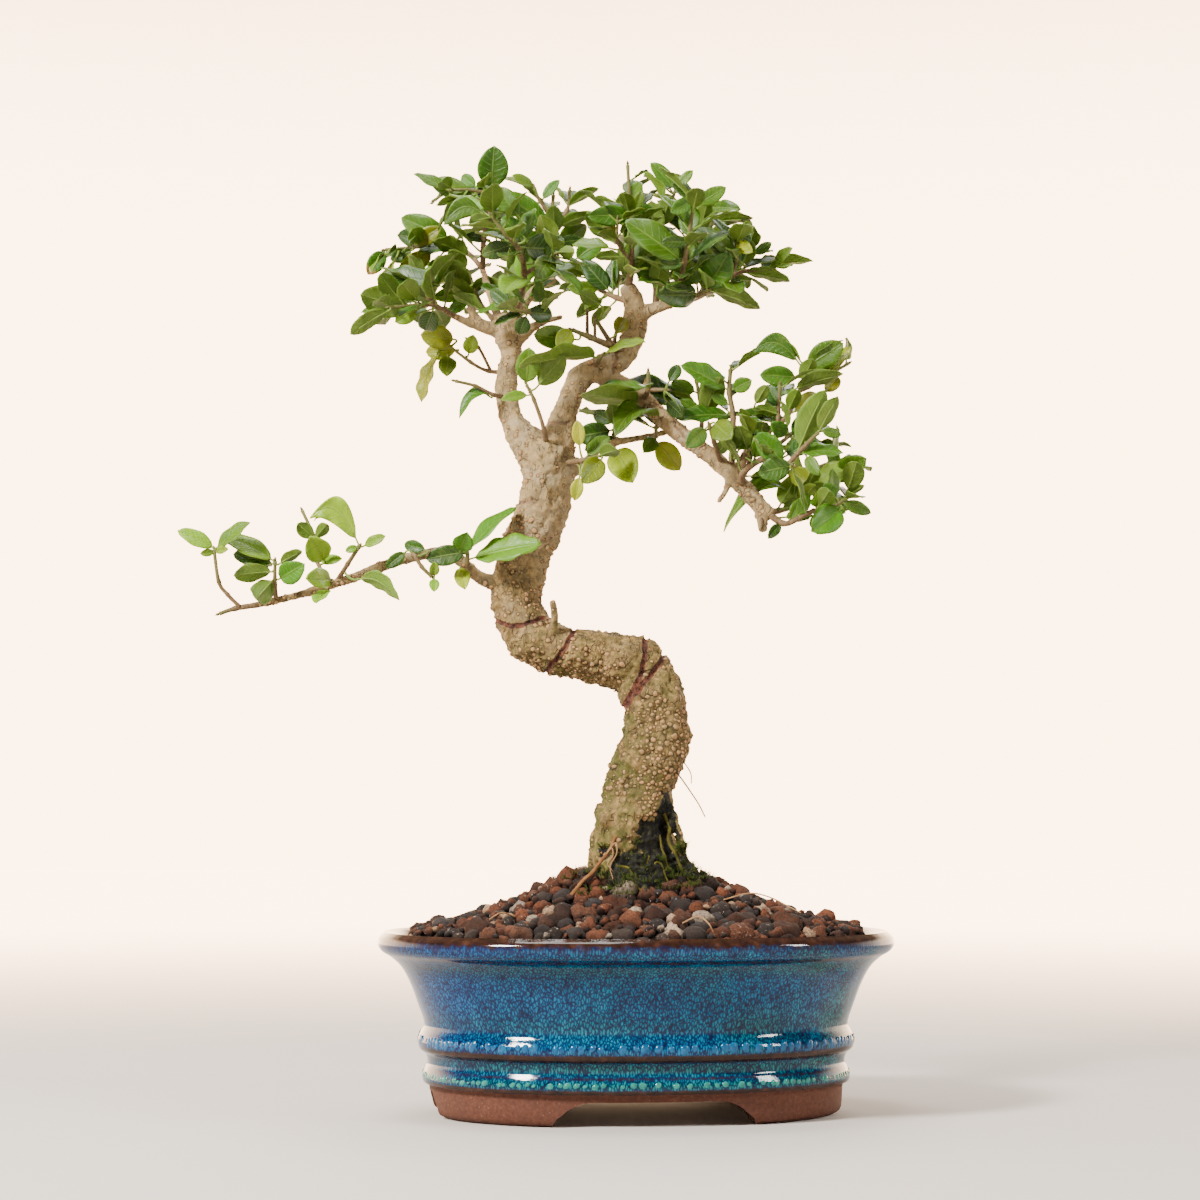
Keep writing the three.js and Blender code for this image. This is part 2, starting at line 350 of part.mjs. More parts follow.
// Closed tapered tube through points that each have a radius, with blunt ends.
function limb(centres, radii, sides) {
  const points = [];
  let across = FIRST_ACROSS.clone();
  centres.forEach((centre, index) => {
    const before = centres[Math.max(index - 1, 0)];
    const after = centres[Math.min(index + 1, centres.length - 1)];
    const along = after.clone().sub(before).normalize();
    across = across.clone().addScaledVector(along, -across.dot(along)).normalize();
    const up = along.clone().cross(across);
    for (let side = 0; side < sides; side += 1) {
      const angle = (side / sides) * 2 * Math.PI;
      points.push(centre.clone().addScaledVector(across, Math.cos(angle) * radii[index])
        .addScaledVector(up, Math.sin(angle) * radii[index]));
    }
  });
  const faces = ringFaces(centres.length, sides, false);
  const last = (centres.length - 1) * sides;
  for (let side = 1; side < sides - 1; side += 1) {
    faces.push([0, side + 1, side], [last, last + side, last + side + 1]);
  }
  return solidFrom(points, faces);
}

function routeLimb(route, sides, grow) {
  return limb(route.map(([u, v, depth]) => placed(u, v, depth)), route.map((stop) => stop[3] + grow), sides);
}

// Point at an angle on the pot's oval with that half-length, or a share of the way out to it.
function oval(halfLength, angle, share = 1) {
  const c = Math.cos(angle);
  const s = Math.sin(angle);
  const bend = 2 / OVAL_POWER;
  return [
    share * halfLength * Math.sign(c) * Math.abs(c) ** bend,
    share * (halfLength - NARROWER) * Math.sign(s) * Math.abs(s) ** bend,
  ];
}

function ovalRing(halfLength, height, sides) {
  return Array.from({ length: sides }, (_, side) => {
    const [x, y] = oval(halfLength, (side / sides) * 2 * Math.PI);
    return vec(x, y, height);
  });
}

// Closed solid from a three.js geometry, its equal corners made one.
function fromGeometry(geometry) {
  const flat = geometry.index ? geometry.toNonIndexed() : geometry;
  const position = flat.attributes.position;
  const seen = new Map();
  const points = [];
  const order = [];
  for (let index = 0; index < position.count; index += 1) {
    const point = vec(position.getX(index), position.getY(index), position.getZ(index));
    const key = point.toArray().map((value) => value.toFixed(4)).join(' ');
    if (!seen.has(key)) {
      seen.set(key, points.length);
      points.push(point);
    }
    order.push(seen.get(key));
  }
  const faces = [];
  for (let index = 0; index < order.length; index += 3) {
    faces.push(order.slice(index, index + 3));
  }
  return solidFrom(points, faces);
}

// Prism of an outline in X and Z, from -reach to reach along Y.
function tunnel(outline, reach) {
  const shape = new THREE.Shape(outline.map(([x, z]) => new THREE.Vector2(x, z)));
  const geometry = new THREE.ExtrudeGeometry(shape, { depth: 2 * reach, bevelEnabled: false });
  geometry.rotateX(Math.PI / 2);
  geometry.translate(0, reach, 0);
  return fromGeometry(geometry);
}

// Cloud-shaped gap under the pot between two feet.
function footGap(half, topHalf) {
  const right = GAP_STEPS.map(([share, height]) => (
    [topHalf + (half - topHalf) * share, FOOT_GAP_HEIGHT * height]));
  const left = right.map(([x, z]) => [-x, z]).reverse();
  return tunnel([...right, ...left], POT_LENGTH);
}

function makePot() {
  const floorHalf = POT_INSIDE.at(-1)[0] - FLOOR_ROUNDING;
  const profile = [
    [FOOT_INNER - FOOT_TAPER, POT_FLOOR_UNDER], [FOOT_INNER, 0],
    ...POT_OUTSIDE, ...POT_INSIDE, [floorHalf, POT_FLOOR_TOP],
  ];
  const rings = profile.map(([half, height]) => ovalRing(half, height, POT_SIDES));
  const points = rings.flat();
  const faces = ringFaces(rings.length, POT_SIDES, false);
  const bottom = points.push(vec(0, 0, POT_FLOOR_UNDER)) - 1;
  const top = points.push(vec(0, 0, POT_FLOOR_TOP)) - 1;
  const lastRing = (rings.length - 1) * POT_SIDES;
  for (let side = 0; side < POT_SIDES; side += 1) {
    const next = (side + 1) % POT_SIDES;
    faces.push([bottom, next, side], [top, lastRing + side, lastRing + next]);
  }
  const gaps = footGap(FRONT_GAP_HALF, FRONT_GAP_TOP_HALF)
    .add(footGap(END_GAP_HALF, END_GAP_TOP_HALF).rotate([0, 0, 90]));
  const drains = [-1, 1].map((way) => {
    const drain = new THREE.CylinderGeometry(DRAIN_RADIUS, DRAIN_RADIUS, DRAIN_LENGTH, DRAIN_SIDES);
    drain.rotateX(Math.PI / 2);
    drain.translate(way * DRAIN_OFFSET, 0, POT_FLOOR_TOP);
    return fromGeometry(drain);
  });
  return solidFrom(points, faces).subtract(joined([gaps, ...drains]));
}

// Value of a table of pairs at a number that lies between two of its entries.
function between(table, at) {
  const upper = Math.max(1, table.findIndex(([start]) => start >= at));
  const [x0, y0] = table[upper - 1];
  const [x1, y1] = table[upper];
  return y0 + ((y1 - y0) * (at - x0)) / (x1 - x0);
}

// Height of the soil, without its grains, at a share of the way from the middle to the rim.
function moundHeight(x, y, share, rimHalf) {
  const away = ((x - DIP.x) / DIP.halfLength) ** 2 + ((y - DIP.y) / DIP.halfDepth) ** 2;
  const lean = SOIL_LEAN * (x / rimHalf) * (1 - share);
  return between(SOIL_PROFILE, share) + lean - DIP.deep * Math.exp(-away);
}

// Mound on a lattice of triangles: every third point is the crown of a grain.
function makeSoil() {
  const points = [];
  const faces = [];
  const names = new Map();
  const rimHalf = POT_INSIDE[1][0] - SOIL_GAP;
  const inside = (q, r) => Math.max(Math.abs(q), Math.abs(r), Math.abs(q + r)) <= SOIL_RINGS;
  const turnOf = (q, r) => Math.atan2(r * Math.sqrt(0.75), q + r / 2);
  const rim = [];
  for (let q = -SOIL_RINGS; q <= SOIL_RINGS; q += 1) {
    for (let r = -SOIL_RINGS; r <= SOIL_RINGS; r += 1) {
      if (!inside(q, r)) {
        continue;
      }
      const ring = Math.max(Math.abs(q), Math.abs(r), Math.abs(q + r));
      const share = ring / SOIL_RINGS;
      const [x, y] = oval(rimHalf, turnOf(q, r), share);
      const edge = ring === SOIL_RINGS;
      const item = points.length;
      const crown = (((q - r) % 3) + 3) % 3 === 0;
      const rise = edge ? 0 : GRAIN_RISE * ((crown ? 1 : 0) + GRAIN_UNEVEN * (scatter(item, 5) - 0.5));
      const jitter = (use) => (edge ? 0 : 2 * GRAIN_JITTER * (scatter(item, use) - 0.5));
      names.set(`${q},${r}`, item);
      points.push(vec(x + jitter(1), y + jitter(2), moundHeight(x, y, share, rimHalf) + rise));
      if (edge) {
        rim.push([turnOf(q, r), item]);
      }
    }
  }
  const face = (...corners) => {
    const found = corners.map(([q, r]) => names.get(`${q},${r}`));
    if (found.every((item) => item !== undefined)) {
      faces.push(found);
    }
  };
  for (let q = -SOIL_RINGS; q <= SOIL_RINGS; q += 1) {
    for (let r = -SOIL_RINGS; r <= SOIL_RINGS; r += 1) {
      face([q, r], [q + 1, r], [q, r + 1]);
      face([q + 1, r], [q + 1, r + 1], [q, r + 1]);
    }
  }
  rim.sort((one, other) => one[0] - other[0]);
  const middle = points.push(vec(0, 0, SOIL_BOTTOM)) - 1;
  const foot = points.length;
  rim.forEach(([turn]) => {
    const [x, y] = oval(SOIL_BOTTOM_HALF, turn);
    points.push(vec(x, y, SOIL_BOTTOM));
  });
  rim.forEach(([, item], index) => {
    const next = (index + 1) % rim.length;
    faces.push([foot + index, rim[next][1], item], [foot + index, foot + next, rim[next][1]]);
    faces.push([middle, foot + next, foot + index]);
  });
  return solidFrom(points, faces);
}

const EYE = placed(EYE_ACROSS, EYE_HEIGHT, -EYE_DISTANCE);

// Trunk, leaders, branches, stubs and roots in one; grow thickens them all.
function makeWood(grow) {
  return joined([
    routeLimb(TRUNK, TRUNK_SIDES, grow),
    ...LEADERS.map((route) => routeLimb(route, LEADER_SIDES, grow)),
    ...BRANCHES.map((route) => routeLimb(route, BRANCH_SIDES, grow)),
    ...STUBS.map((route) => routeLimb(route, STUB_SIDES, grow)),
    ...ROOTS.map((route) => routeLimb(route, STUB_SIDES, grow)),
  ]);
}

// Straight pieces of routes, each with its two ends and its thicker radius.
function segmentsOf(routes) {
  return routes.flatMap((route) => route.slice(1).map((stop, index) => ({
    from: placed(...route[index]),
    to: placed(...stop),
    radius: Math.max(route[index][3], stop[3]),
  })));
}

function distanceTo({ from, to, radius }, point) {
  const line = to.clone().sub(from);
  const share = THREE.MathUtils.clamp(point.clone().sub(from).dot(line) / line.lengthSq(), 0, 1);
  return from.clone().addScaledVector(line, share).distanceTo(point) - radius;
}

// Where on a spray's twigs a leaf sits: the nearest place as seen from the front.
function seatOn(stems, u, v) {
  let best = { distance: Infinity };
  for (const route of stems) {
    for (let index = 1; index < route.length; index += 1) {
      const [u0, v0, d0] = route[index - 1];
      const [u1, v1, d1] = route[index];
      const reach = (u1 - u0) ** 2 + (v1 - v0) ** 2;
      const along = reach ? ((u - u0) * (u1 - u0) + (v - v0) * (v1 - v0)) / reach : 0;
      const share = THREE.MathUtils.clamp(along, 0, 1);
      const seat = [u0 + (u1 - u0) * share, v0 + (v1 - v0) * share, d0 + (d1 - d0) * share];
      const distance = Math.hypot(u - seat[0], v - seat[1]);
      if (distance < best.distance) {
        best = { distance, seat };
      }
    }
  }
  return best;
}

// Lie of one leaf in space: seat, base, bent midrib, side direction and width.
function leafLie(spray, row, item, shift) {
  const [u0, v0, u1, v1, seen, tone, rise = 0] = row;
  const { distance, seat } = seatOn(spray.stems, u0, v0);
  const flat = Math.hypot(u1 - u0, v1 - v0);
  const wanted = seen / WIDEST_TO_LENGTH;
  const lean = LEAN_OF_TONE[tone] * flat + LEAN_SPREAD * (scatter(item, 4) - 0.5) * flat;
  const leastLean = flat < wanted ? Math.sqrt(wanted ** 2 - flat ** 2) : 0;
  const leanNow = Math.sign(lean) * Math.max(Math.abs(lean), leastLean);
  const baseDepth = seat[2] - spray.face * STALK_SLANT * distance;
  const base = placed(u0, v0, baseDepth);
  const size = spray.shrink;
  const tip = placed(u0 + (u1 - u0) * size, v0 + (v1 - v0) * size, baseDepth - spray.face * leanNow + shift);
  const along = tip.clone().sub(base);
  const length = along.length();
  along.normalize();
  const width = Math.max(seen * size, WIDTH_TO_LENGTH * length);
  const facing = EYE.clone().sub(base);
  facing.addScaledVector(along, -facing.dot(along)).normalize();
  const roll = Math.acos(Math.min(1, (seen * size) / width));
  const beside = along.clone().cross(facing);
  const front = facing.multiplyScalar(Math.cos(roll) * (tone === 'P' ? -1 : 1) * spray.face);
  const tilted = [1, -1].map((way) => front.clone().addScaledVector(beside, way * Math.sin(roll)));
  const normal = tilted[0].z >= tilted[1].z ? tilted[0] : tilted[1];
  const middle = base.clone().add(tip).multiplyScalar(0.5)
    .addScaledVector(normal, 2 * ARCH * length)
    .add(vec(0, 0, 2 * rise));
  return {
    seat: placed(...seat),
    stalk: distance,
    curve: new THREE.QuadraticBezierCurve3(base, middle, tip),
    side: along.cross(normal).normalize(),
    width,
    length,
  };
}

// Left, middle and right points of the blade at a share of its length.
function bladeRow(lie, share, fullness, flat, grow) {
  const centre = lie.curve.getPoint(share);
  const up = lie.side.clone().cross(lie.curve.getTangent(share)).normalize();
  const half = (lie.width / 2) * fullness + grow;
  const fold = flat ? 0 : BLADE_FOLD;
  const edge = (way) => centre.clone().addScaledVector(lie.side, way * half * Math.cos(fold))
    .addScaledVector(up, half * Math.sin(fold));
  const points = fullness === 0 ? [centre] : [edge(-1), ...(flat ? [] : [centre]), edge(1)];
  return { points, up };
}

// Triangles between two rows of a blade, the same above and below.
function stripFaces(a, b) {
  if (a.length === 1) {
    return b.slice(1).map((corner, index) => [a[0], corner, b[index]]);
  }
  if (b.length === 1) {
    return a.slice(1).map((corner, index) => [a[index], corner, b[0]]);
  }
  if (a.length === 2 && b.length === 2) {
    return [[a[0], a[1], b[1]], [a[0], b[1], b[0]]];
  }
  if (a.length === 2) {
    return [[a[0], a[1], b[1]], [a[0], b[1], b[0]], [a[1], b[2], b[1]]];
  }
  return [[a[0], a[1], b[1]], [a[0], b[1], b[0]], [a[1], a[2], b[1]], [a[2], b[2], b[1]]];
}

// One leaf as a closed thin solid: stalk, blade stations and tip.
function blade(lie, grow) {
  const flat = lie.length < SHORT_LEAF;
  const stations = lie.length > LONG_LEAF ? LONG_STATIONS : STATIONS;
  const body = stations.map(([share, fullness]) => bladeRow(lie, share, fullness, flat, grow));
  const start = [{ points: [lie.seat], up: body[0].up }];
  if (lie.stalk > LONG_STALK) {
    const base = lie.curve.getPoint(0);
    const beside = lie.side.clone().multiplyScalar(STALK_HALF + grow);
    start.push({ points: [base.clone().sub(beside), base.clone().add(beside)], up: body[0].up });
  }
  const end = lie.curve.getPoint(1).addScaledVector(lie.curve.getTangent(1), grow);
  const rows = [...start, ...body, { points: [end], up: body.at(-1).up }];
  const top = [];
  const names = rows.map(({ points, up }) => points.map((point) => (
    top.push(point.clone().addScaledVector(up, BLADE_THICKNESS / 2 + grow)) - 1)));
  const under = rows.flatMap(({ points, up }) => points.map((point) => (
    point.clone().addScaledVector(up, -BLADE_THICKNESS / 2 - grow))));
  const upper = names.slice(1).flatMap((row, index) => stripFaces(names[index], row));
  const count = top.length;
  const lower = upper.map(([a, b, c]) => [a + count, c + count, b + count]);
  const rightSide = names.map((row) => row.at(-1));
  const leftSide = names.slice(1, -1).map((row) => row[0]).reverse();
  const loop = [...rightSide, ...leftSide];
  const walls = loop.flatMap((a, index) => {
    const b = loop[(index + 1) % loop.length];
    return [[a, a + count, b + count], [a, b + count, b]];
  });
  return solidFrom([...top, ...under], [...upper, ...lower, ...walls]);
}

function samplesOf(lie) {
  return SAMPLE_SHARES.flatMap(([share, fullness]) => bladeRow(lie, share, fullness, false, 0).points);
}

// Every leaf finds the first lean that keeps it off the wood, other twigs and other leaves.
function settleLeaves(sprays, woodSegments) {
  const taken = [];
  const segments = sprays.map((spray) => segmentsOf(spray.stems));
  sprays.forEach((spray, own) => {
    const solids = [...woodSegments, ...segments.filter((_, other) => other !== own).flat()];
    spray.lies = spray.leaves.map(([row, item]) => {
      let best = { room: -Infinity };
      for (const shift of SHIFTS) {
        const lie = leafLie(spray, row, item, shift);
        const samples = samplesOf(lie);
        let room = Infinity;
        for (const sample of samples) {
          for (const other of taken) {
            room = Math.min(room, sample.distanceTo(other));
          }
          for (const segment of solids) {
            room = Math.min(room, distanceTo(segment, sample));
          }
        }
        if (room > best.room) {
          best = { room, lie, samples };
        }
        if (room > ENOUGH_ROOM) {
          break;
        }
      }
      taken.push(...best.samples);
      return best.lie;
    });
  });
}

// Leaves of a spray that are long enough for a solid, each with its number.
function numbered(leaves, first, smallest) {
  return leaves.map((row, index) => [row, first + index])
    .filter(([[u0, v0, u1, v1]]) => Math.hypot(u1 - u0, v1 - v0) >= smallest);
}

// Twigs with their depth beyond what carries them made larger, or turned to the far side.
function deepened(stems, factor) {
  const carried = stems[0][0][2];
  return stems.map((route) => route.map(([u, v, depth, radius]) => (
    [u, v, carried + (depth - carried) * factor, radius])));
}

function nearSpray([name, stems, leaves], order) {
  return {
    name,
    stems: deepened(stems, NEAR_DEPTH),
    leaves: numbered(leaves, order * ITEMS_PER_SPRAY, SMALLEST_LEAF),
    face: 1,
    shrink: 1,
  };
}

function farSpray([name, stems, leaves], order) {
  return {
    name: `${name}_far`,
    stems: deepened(stems, -FAR_DEPTH),
    leaves: numbered(leaves, FAR_ITEMS + order * ITEMS_PER_SPRAY, SMALLEST_FAR_LEAF),
    face: -1,
    shrink: FAR_SHRINK,
  };
}

function makeSprays(woodSkin) {
  const near = SPRAYS.map(nearSpray);
  const far = SPRAYS.map(farSpray).filter(({ name }) => FAR_SPRAYS.includes(name.slice(0, -4)));
  const sprays = [...near, ...far];
  settleLeaves(sprays, segmentsOf([TRUNK, ...LEADERS, ...BRANCHES, ...STUBS]));
  const skins = [];
  for (const spray of sprays) {
    const build = (grow) => joined([
      ...spray.stems.map((route) => routeLimb(route, TWIG_SIDES, grow)),
      ...spray.lies.map((lie) => blade(lie, grow)),
    ]);
    let solid = build(0).subtract(woodSkin);
    for (const skin of skins) {
      solid = solid.subtract(skin);
    }
    spray.solid = largest(largest(solid).simplify(SMALLEST_EDGE));
    skins.push(build(CLEARANCE));
  }
  return sprays;
}

function meshOf(name, solid, material) {
  const { vertProperties, triVerts } = solid.getMesh();
  const geometry = new THREE.BufferGeometry();
  geometry.setAttribute('position', new THREE.BufferAttribute(Float32Array.from(vertProperties), 3));
  geometry.setIndex(new THREE.BufferAttribute(Uint32Array.from(triVerts), 1));
  geometry.computeVertexNormals();
  const mesh = new THREE.Mesh(geometry, material);
  mesh.name = name;
  return mesh;
}

const bonsai = new THREE.Group();
const woodSkin = makeWood(CLEARANCE);
bonsai.add(meshOf('pot', makePot(), GLAZE));
bonsai.add(meshOf('soil', largest(makeSoil().subtract(woodSkin)), SOIL));
bonsai.add(meshOf('wood', makeWood(0), BARK));
for (const { name, solid } of makeSprays(woodSkin)) {
  bonsai.add(meshOf(`spray_${name}`, solid, LEAF));
}
const middle = new THREE.Box3().setFromObject(bonsai).getCenter(vec(0, 0, 0));
bonsai.position.set(-middle.x, -middle.y, 0);

export default bonsai;
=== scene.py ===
"""Chinese privet bonsai in an oval glazed pot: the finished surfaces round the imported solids.

Sizes are in millimetres until a mesh is made, which is in metres. The tree is written as it is
seen from the front (across, height, depth away from the viewer) and turned into points by placed().
"""
import math

import bmesh
import bpy
import numpy as np
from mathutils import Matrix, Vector, kdtree, noise


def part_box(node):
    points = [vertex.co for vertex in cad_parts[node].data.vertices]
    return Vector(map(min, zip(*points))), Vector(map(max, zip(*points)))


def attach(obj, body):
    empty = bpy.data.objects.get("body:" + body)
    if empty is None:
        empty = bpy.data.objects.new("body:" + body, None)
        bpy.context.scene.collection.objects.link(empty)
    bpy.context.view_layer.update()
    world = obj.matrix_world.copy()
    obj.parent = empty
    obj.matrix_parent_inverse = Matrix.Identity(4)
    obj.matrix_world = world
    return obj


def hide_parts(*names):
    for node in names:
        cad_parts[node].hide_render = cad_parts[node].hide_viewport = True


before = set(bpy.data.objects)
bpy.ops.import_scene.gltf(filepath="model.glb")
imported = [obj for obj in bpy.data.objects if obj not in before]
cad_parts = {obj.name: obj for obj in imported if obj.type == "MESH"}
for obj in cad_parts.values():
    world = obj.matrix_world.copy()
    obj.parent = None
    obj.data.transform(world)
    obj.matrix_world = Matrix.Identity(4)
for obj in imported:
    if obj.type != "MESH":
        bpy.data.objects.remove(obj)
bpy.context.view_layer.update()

MM = 0.001

# The view: an eye in front of the tree, which is turned a little against the pot.
EYE_ACROSS = -14
EYE_DISTANCE = 1055
EYE_HEIGHT = 113.9
TREE_TURN = math.radians(-7)
CAMERA_PITCH = math.radians(4.55)
CAMERA_LENS = 81.0
CAMERA_SENSOR = 36.0

# Leaves: the same lie as the solids have.
WIDTH_TO_LENGTH = 0.42
WIDEST_TO_LENGTH = 0.6
STALK_SLANT = 0.3
ARCH = 0.05
LEAN_OF_TONE = {"D": -0.25, "M": 0.1, "F": 0.2, "P": 0.35, "Y": 0.08}
LEAN_SPREAD = 0.5
SAMPLE_SHARES = [(0.4, 0.9), (0.6, 0.95), (0.8, 0.66), (1, 0)]
SAMPLE_FOLD = 0.28
SHIFTS = [0, -5, 5, -10, 10, -16, 16]
ENOUGH_ROOM = 2.2
SMALLEST_LEAF = 9
SMALLEST_FAR_LEAF = 13
ITEMS_PER_SPRAY = 20
FAR_ITEMS = 1000
FAR_SHRINK = 0.92
FAR_DEPTH = 1.5
NEAR_DEPTH = 1.3

# Pot: profile as half-lengths of the oval at each height, outside and then inside.
NARROWER = 22
OVAL_POWER = 2.2
POT_SIDES = 224
POT_OUTSIDE = [
    (76.8, 0), (79.2, 2.2), (80.0, 11.4), (82.2, 12.2), (82.6, 14.6), (81.6, 17.6), (80.7, 19.9), (81.6, 23.0),
    (83.6, 24.6), (84.3, 26.6), (84.2, 29), (82.2, 33.2), (82.4, 36), (84.2, 41), (87.2, 49), (90.6, 55.4),
    (94.6, 59.4), (98.4, 61.8), (99.9, 64.4), (99.4, 67.2), (97.2, 69.2),
]
POT_INSIDE = [(94.6, 68.6), (92.2, 67.2), (90.4, 64.6), (88.6, 60), (74, 18), (70, 14.5), (30, 14.5)]
POT_UNDER = [(30, 9.6), (60, 9.6), (62, 0)]
CORNER_STEPS = 4
FOOT_GAP_HEIGHT = 9.1
FRONT_GAP = (38, 29)
END_GAP = (15, 9)
FOOT_TOP = 11.9
DRAIN_ACROSS = 34
DRAIN_RADIUS = 8

# Soil: height of the mound at each share of the way from the middle to the rim.
SOIL_PROFILE = [(0, 93), (0.22, 91.5), (0.36, 86), (0.55, 78.5), (0.72, 73.5), (0.86, 70.2), (1, 67.6)]
SOIL_RIM_HALF = 88.8
# Woody routes as seen from the front: across, height, depth and radius, in millimetres.
TRUNK = [
    [1, 58, 0, 16], [1, 74, 0, 18.5], [1, 88, 0, 19], [-0.8, 100, 0, 17.2], [-0.4, 108, -1, 16],
    [1.2, 116, -2, 13.8], [1.6, 124, -2, 12.9], [3.9, 131, -2, 13.2], [7, 140, -2, 13.3], [8.2, 148, -1, 13],
    [7.2, 156, -1, 12.3], [4.7, 164, 0, 12], [0.4, 170.5, 0, 11.4], [-6.3, 173.8, 0, 10.7], [-15, 175.3, 0, 10.2],
    [-26.6, 177.5, 1, 9.8], [-35.5, 180.5, 2, 10.2], [-42.5, 186.5, 3, 10.5], [-46.2, 194, 3, 10],
    [-46.5, 202, 3, 9.3], [-45, 210, 2, 9.7], [-43.2, 217.5, 2, 9.9], [-39.8, 225, 1, 10.2],
    [-37, 233, 1, 10.4], [-35, 241, 0, 9.9], [-34.2, 249, 0, 10.2], [-35, 257, 0, 9.5], [-35.5, 262.5, 0, 5],
]
LEADERS = [
    [[-35, 250, 0, 8.5], [-40.5, 257.5, 0, 7.4], [-45.7, 264, 1, 5.7], [-49.8, 272, 2, 4.4], [-51, 280, 2, 4.6],
      [-50.4, 288, 1, 4.3], [-49, 295.5, 0, 4.5], [-50.4, 302, 0, 5.3], [-51, 308, 0, 5.2], [-51, 311, 0, 2.8]],
    [[-34, 250, 0, 8.5], [-31.5, 257.5, 0, 7.4], [-29.7, 264, 0, 6], [-27.7, 272, 0, 4.9], [-25, 280, 0, 4.9],
      [-21, 286.5, 0, 5], [-14, 290, -1, 5], [-6.5, 293, -1, 5], [-1.6, 301, 0, 4.6], [0.4, 309, 0, 4.8],
      [-1, 316, 1, 3.9], [-3, 322.5, 1, 3.3]],
]
BRANCHES = [
    [[-2, 306, 0, 3], [3, 311, 0, 3.2], [8, 313.5, -2, 2.5], [15, 316, -4, 2.1], [25, 318.5, -6, 1.6], [34, 323, -8, 1.2]],
    [[-20, 288, 0, 3.6], [-12, 286, -2, 4], [3, 277, -5, 3.7], [16, 265, -9, 3.4], [35, 250, -13, 3.3],
      [46, 238, -15, 3.1], [53, 231, -16, 3]],
    [[-33, 249, 4, 3], [-20, 251, 7, 2.3], [-15, 257, 8, 1.7], [-8, 260, 9, 1.5], [5, 262.5, 10, 1.3], [20, 266, 11, 1.1]],
    [[-45, 201, 3, 4], [-57, 205, 0, 2.7], [-63, 208, 0, 2.4], [-68, 213, -1, 2.4], [-75, 216.3, -2, 2.4],
      [-85, 215.5, -3, 2.3], [-100, 211, -5, 2.1], [-110, 207, -6, 1.9], [-130, 200.5, -8, 1.6], [-150, 195.5, -10, 1.3]],
    [[-50, 303, 0, 3], [-58, 305, -1, 2.2], [-65, 307.5, -4, 1.8], [-73, 311, -7, 1.2]],
    [[-51, 306, 0, 2.6], [-55, 312, 4, 1.7], [-58, 321, 10, 1.5], [-61, 331, 16, 1.2]],
    [[-50, 305, 0, 3], [-47, 311, 2, 2.6], [-43, 317, 5, 2.1], [-38, 322.5, 9, 1.6], [-32, 325, 12, 1.3]],
    [[-48, 299, 0, 2.6], [-43, 304, -4, 2.2], [-37, 308, -9, 1.4], [-29, 310, -13, 1]],
]
STUBS = [
    [[-29, 250, 0, 5], [-20.5, 251, -2, 3]],
    [[-33, 183, -6, 2.5], [-31.8, 191.6, -9, 1.6], [-32.8, 197.5, -10, 1.3]],
    [[-52, 304, 0, 3], [-61, 307.5, -4, 2.2], [-66, 314, -6, 1.4]],
    [[38, 247.5, -14, 2.4], [41, 251.5, -13, 2], [46.5, 260, -11, 1.6]],
    [[49, 236, -15, 2.4], [50, 225, -17, 1.9]],
    [[36, 249, -13, 1.6], [36, 242, -15, 1.2], [32.5, 236.5, -17, 1]],
    [[3, 277, -5, 2], [5, 286, -4, 1.2]],
]
ROOTS = [
    [[6, 126, -4, 3.2], [12, 119, -7, 2.4], [16, 108, -9, 2.3], [19, 96, -9, 2.6], [25, 84, -8, 3], [28, 72, -7, 2.6]],
    [[-2, 115, -11, 1.2], [-6, 110, -15, 0.9], [-11.5, 101.5, -18, 0.85], [-18, 90, -21, 0.9], [-25, 77, -24, 0.85]],
    [[-8, 100, 0, 7], [-20, 88, 3, 4.5], [-31, 76, 5, 3.5]],
    [[2, 98, 8, 7], [6, 86, 20, 5], [8, 70, 30, 3.5]],
    [[0, 98, -9, 6], [2, 86, -18, 4.5], [5, 72, -25, 3]],
]

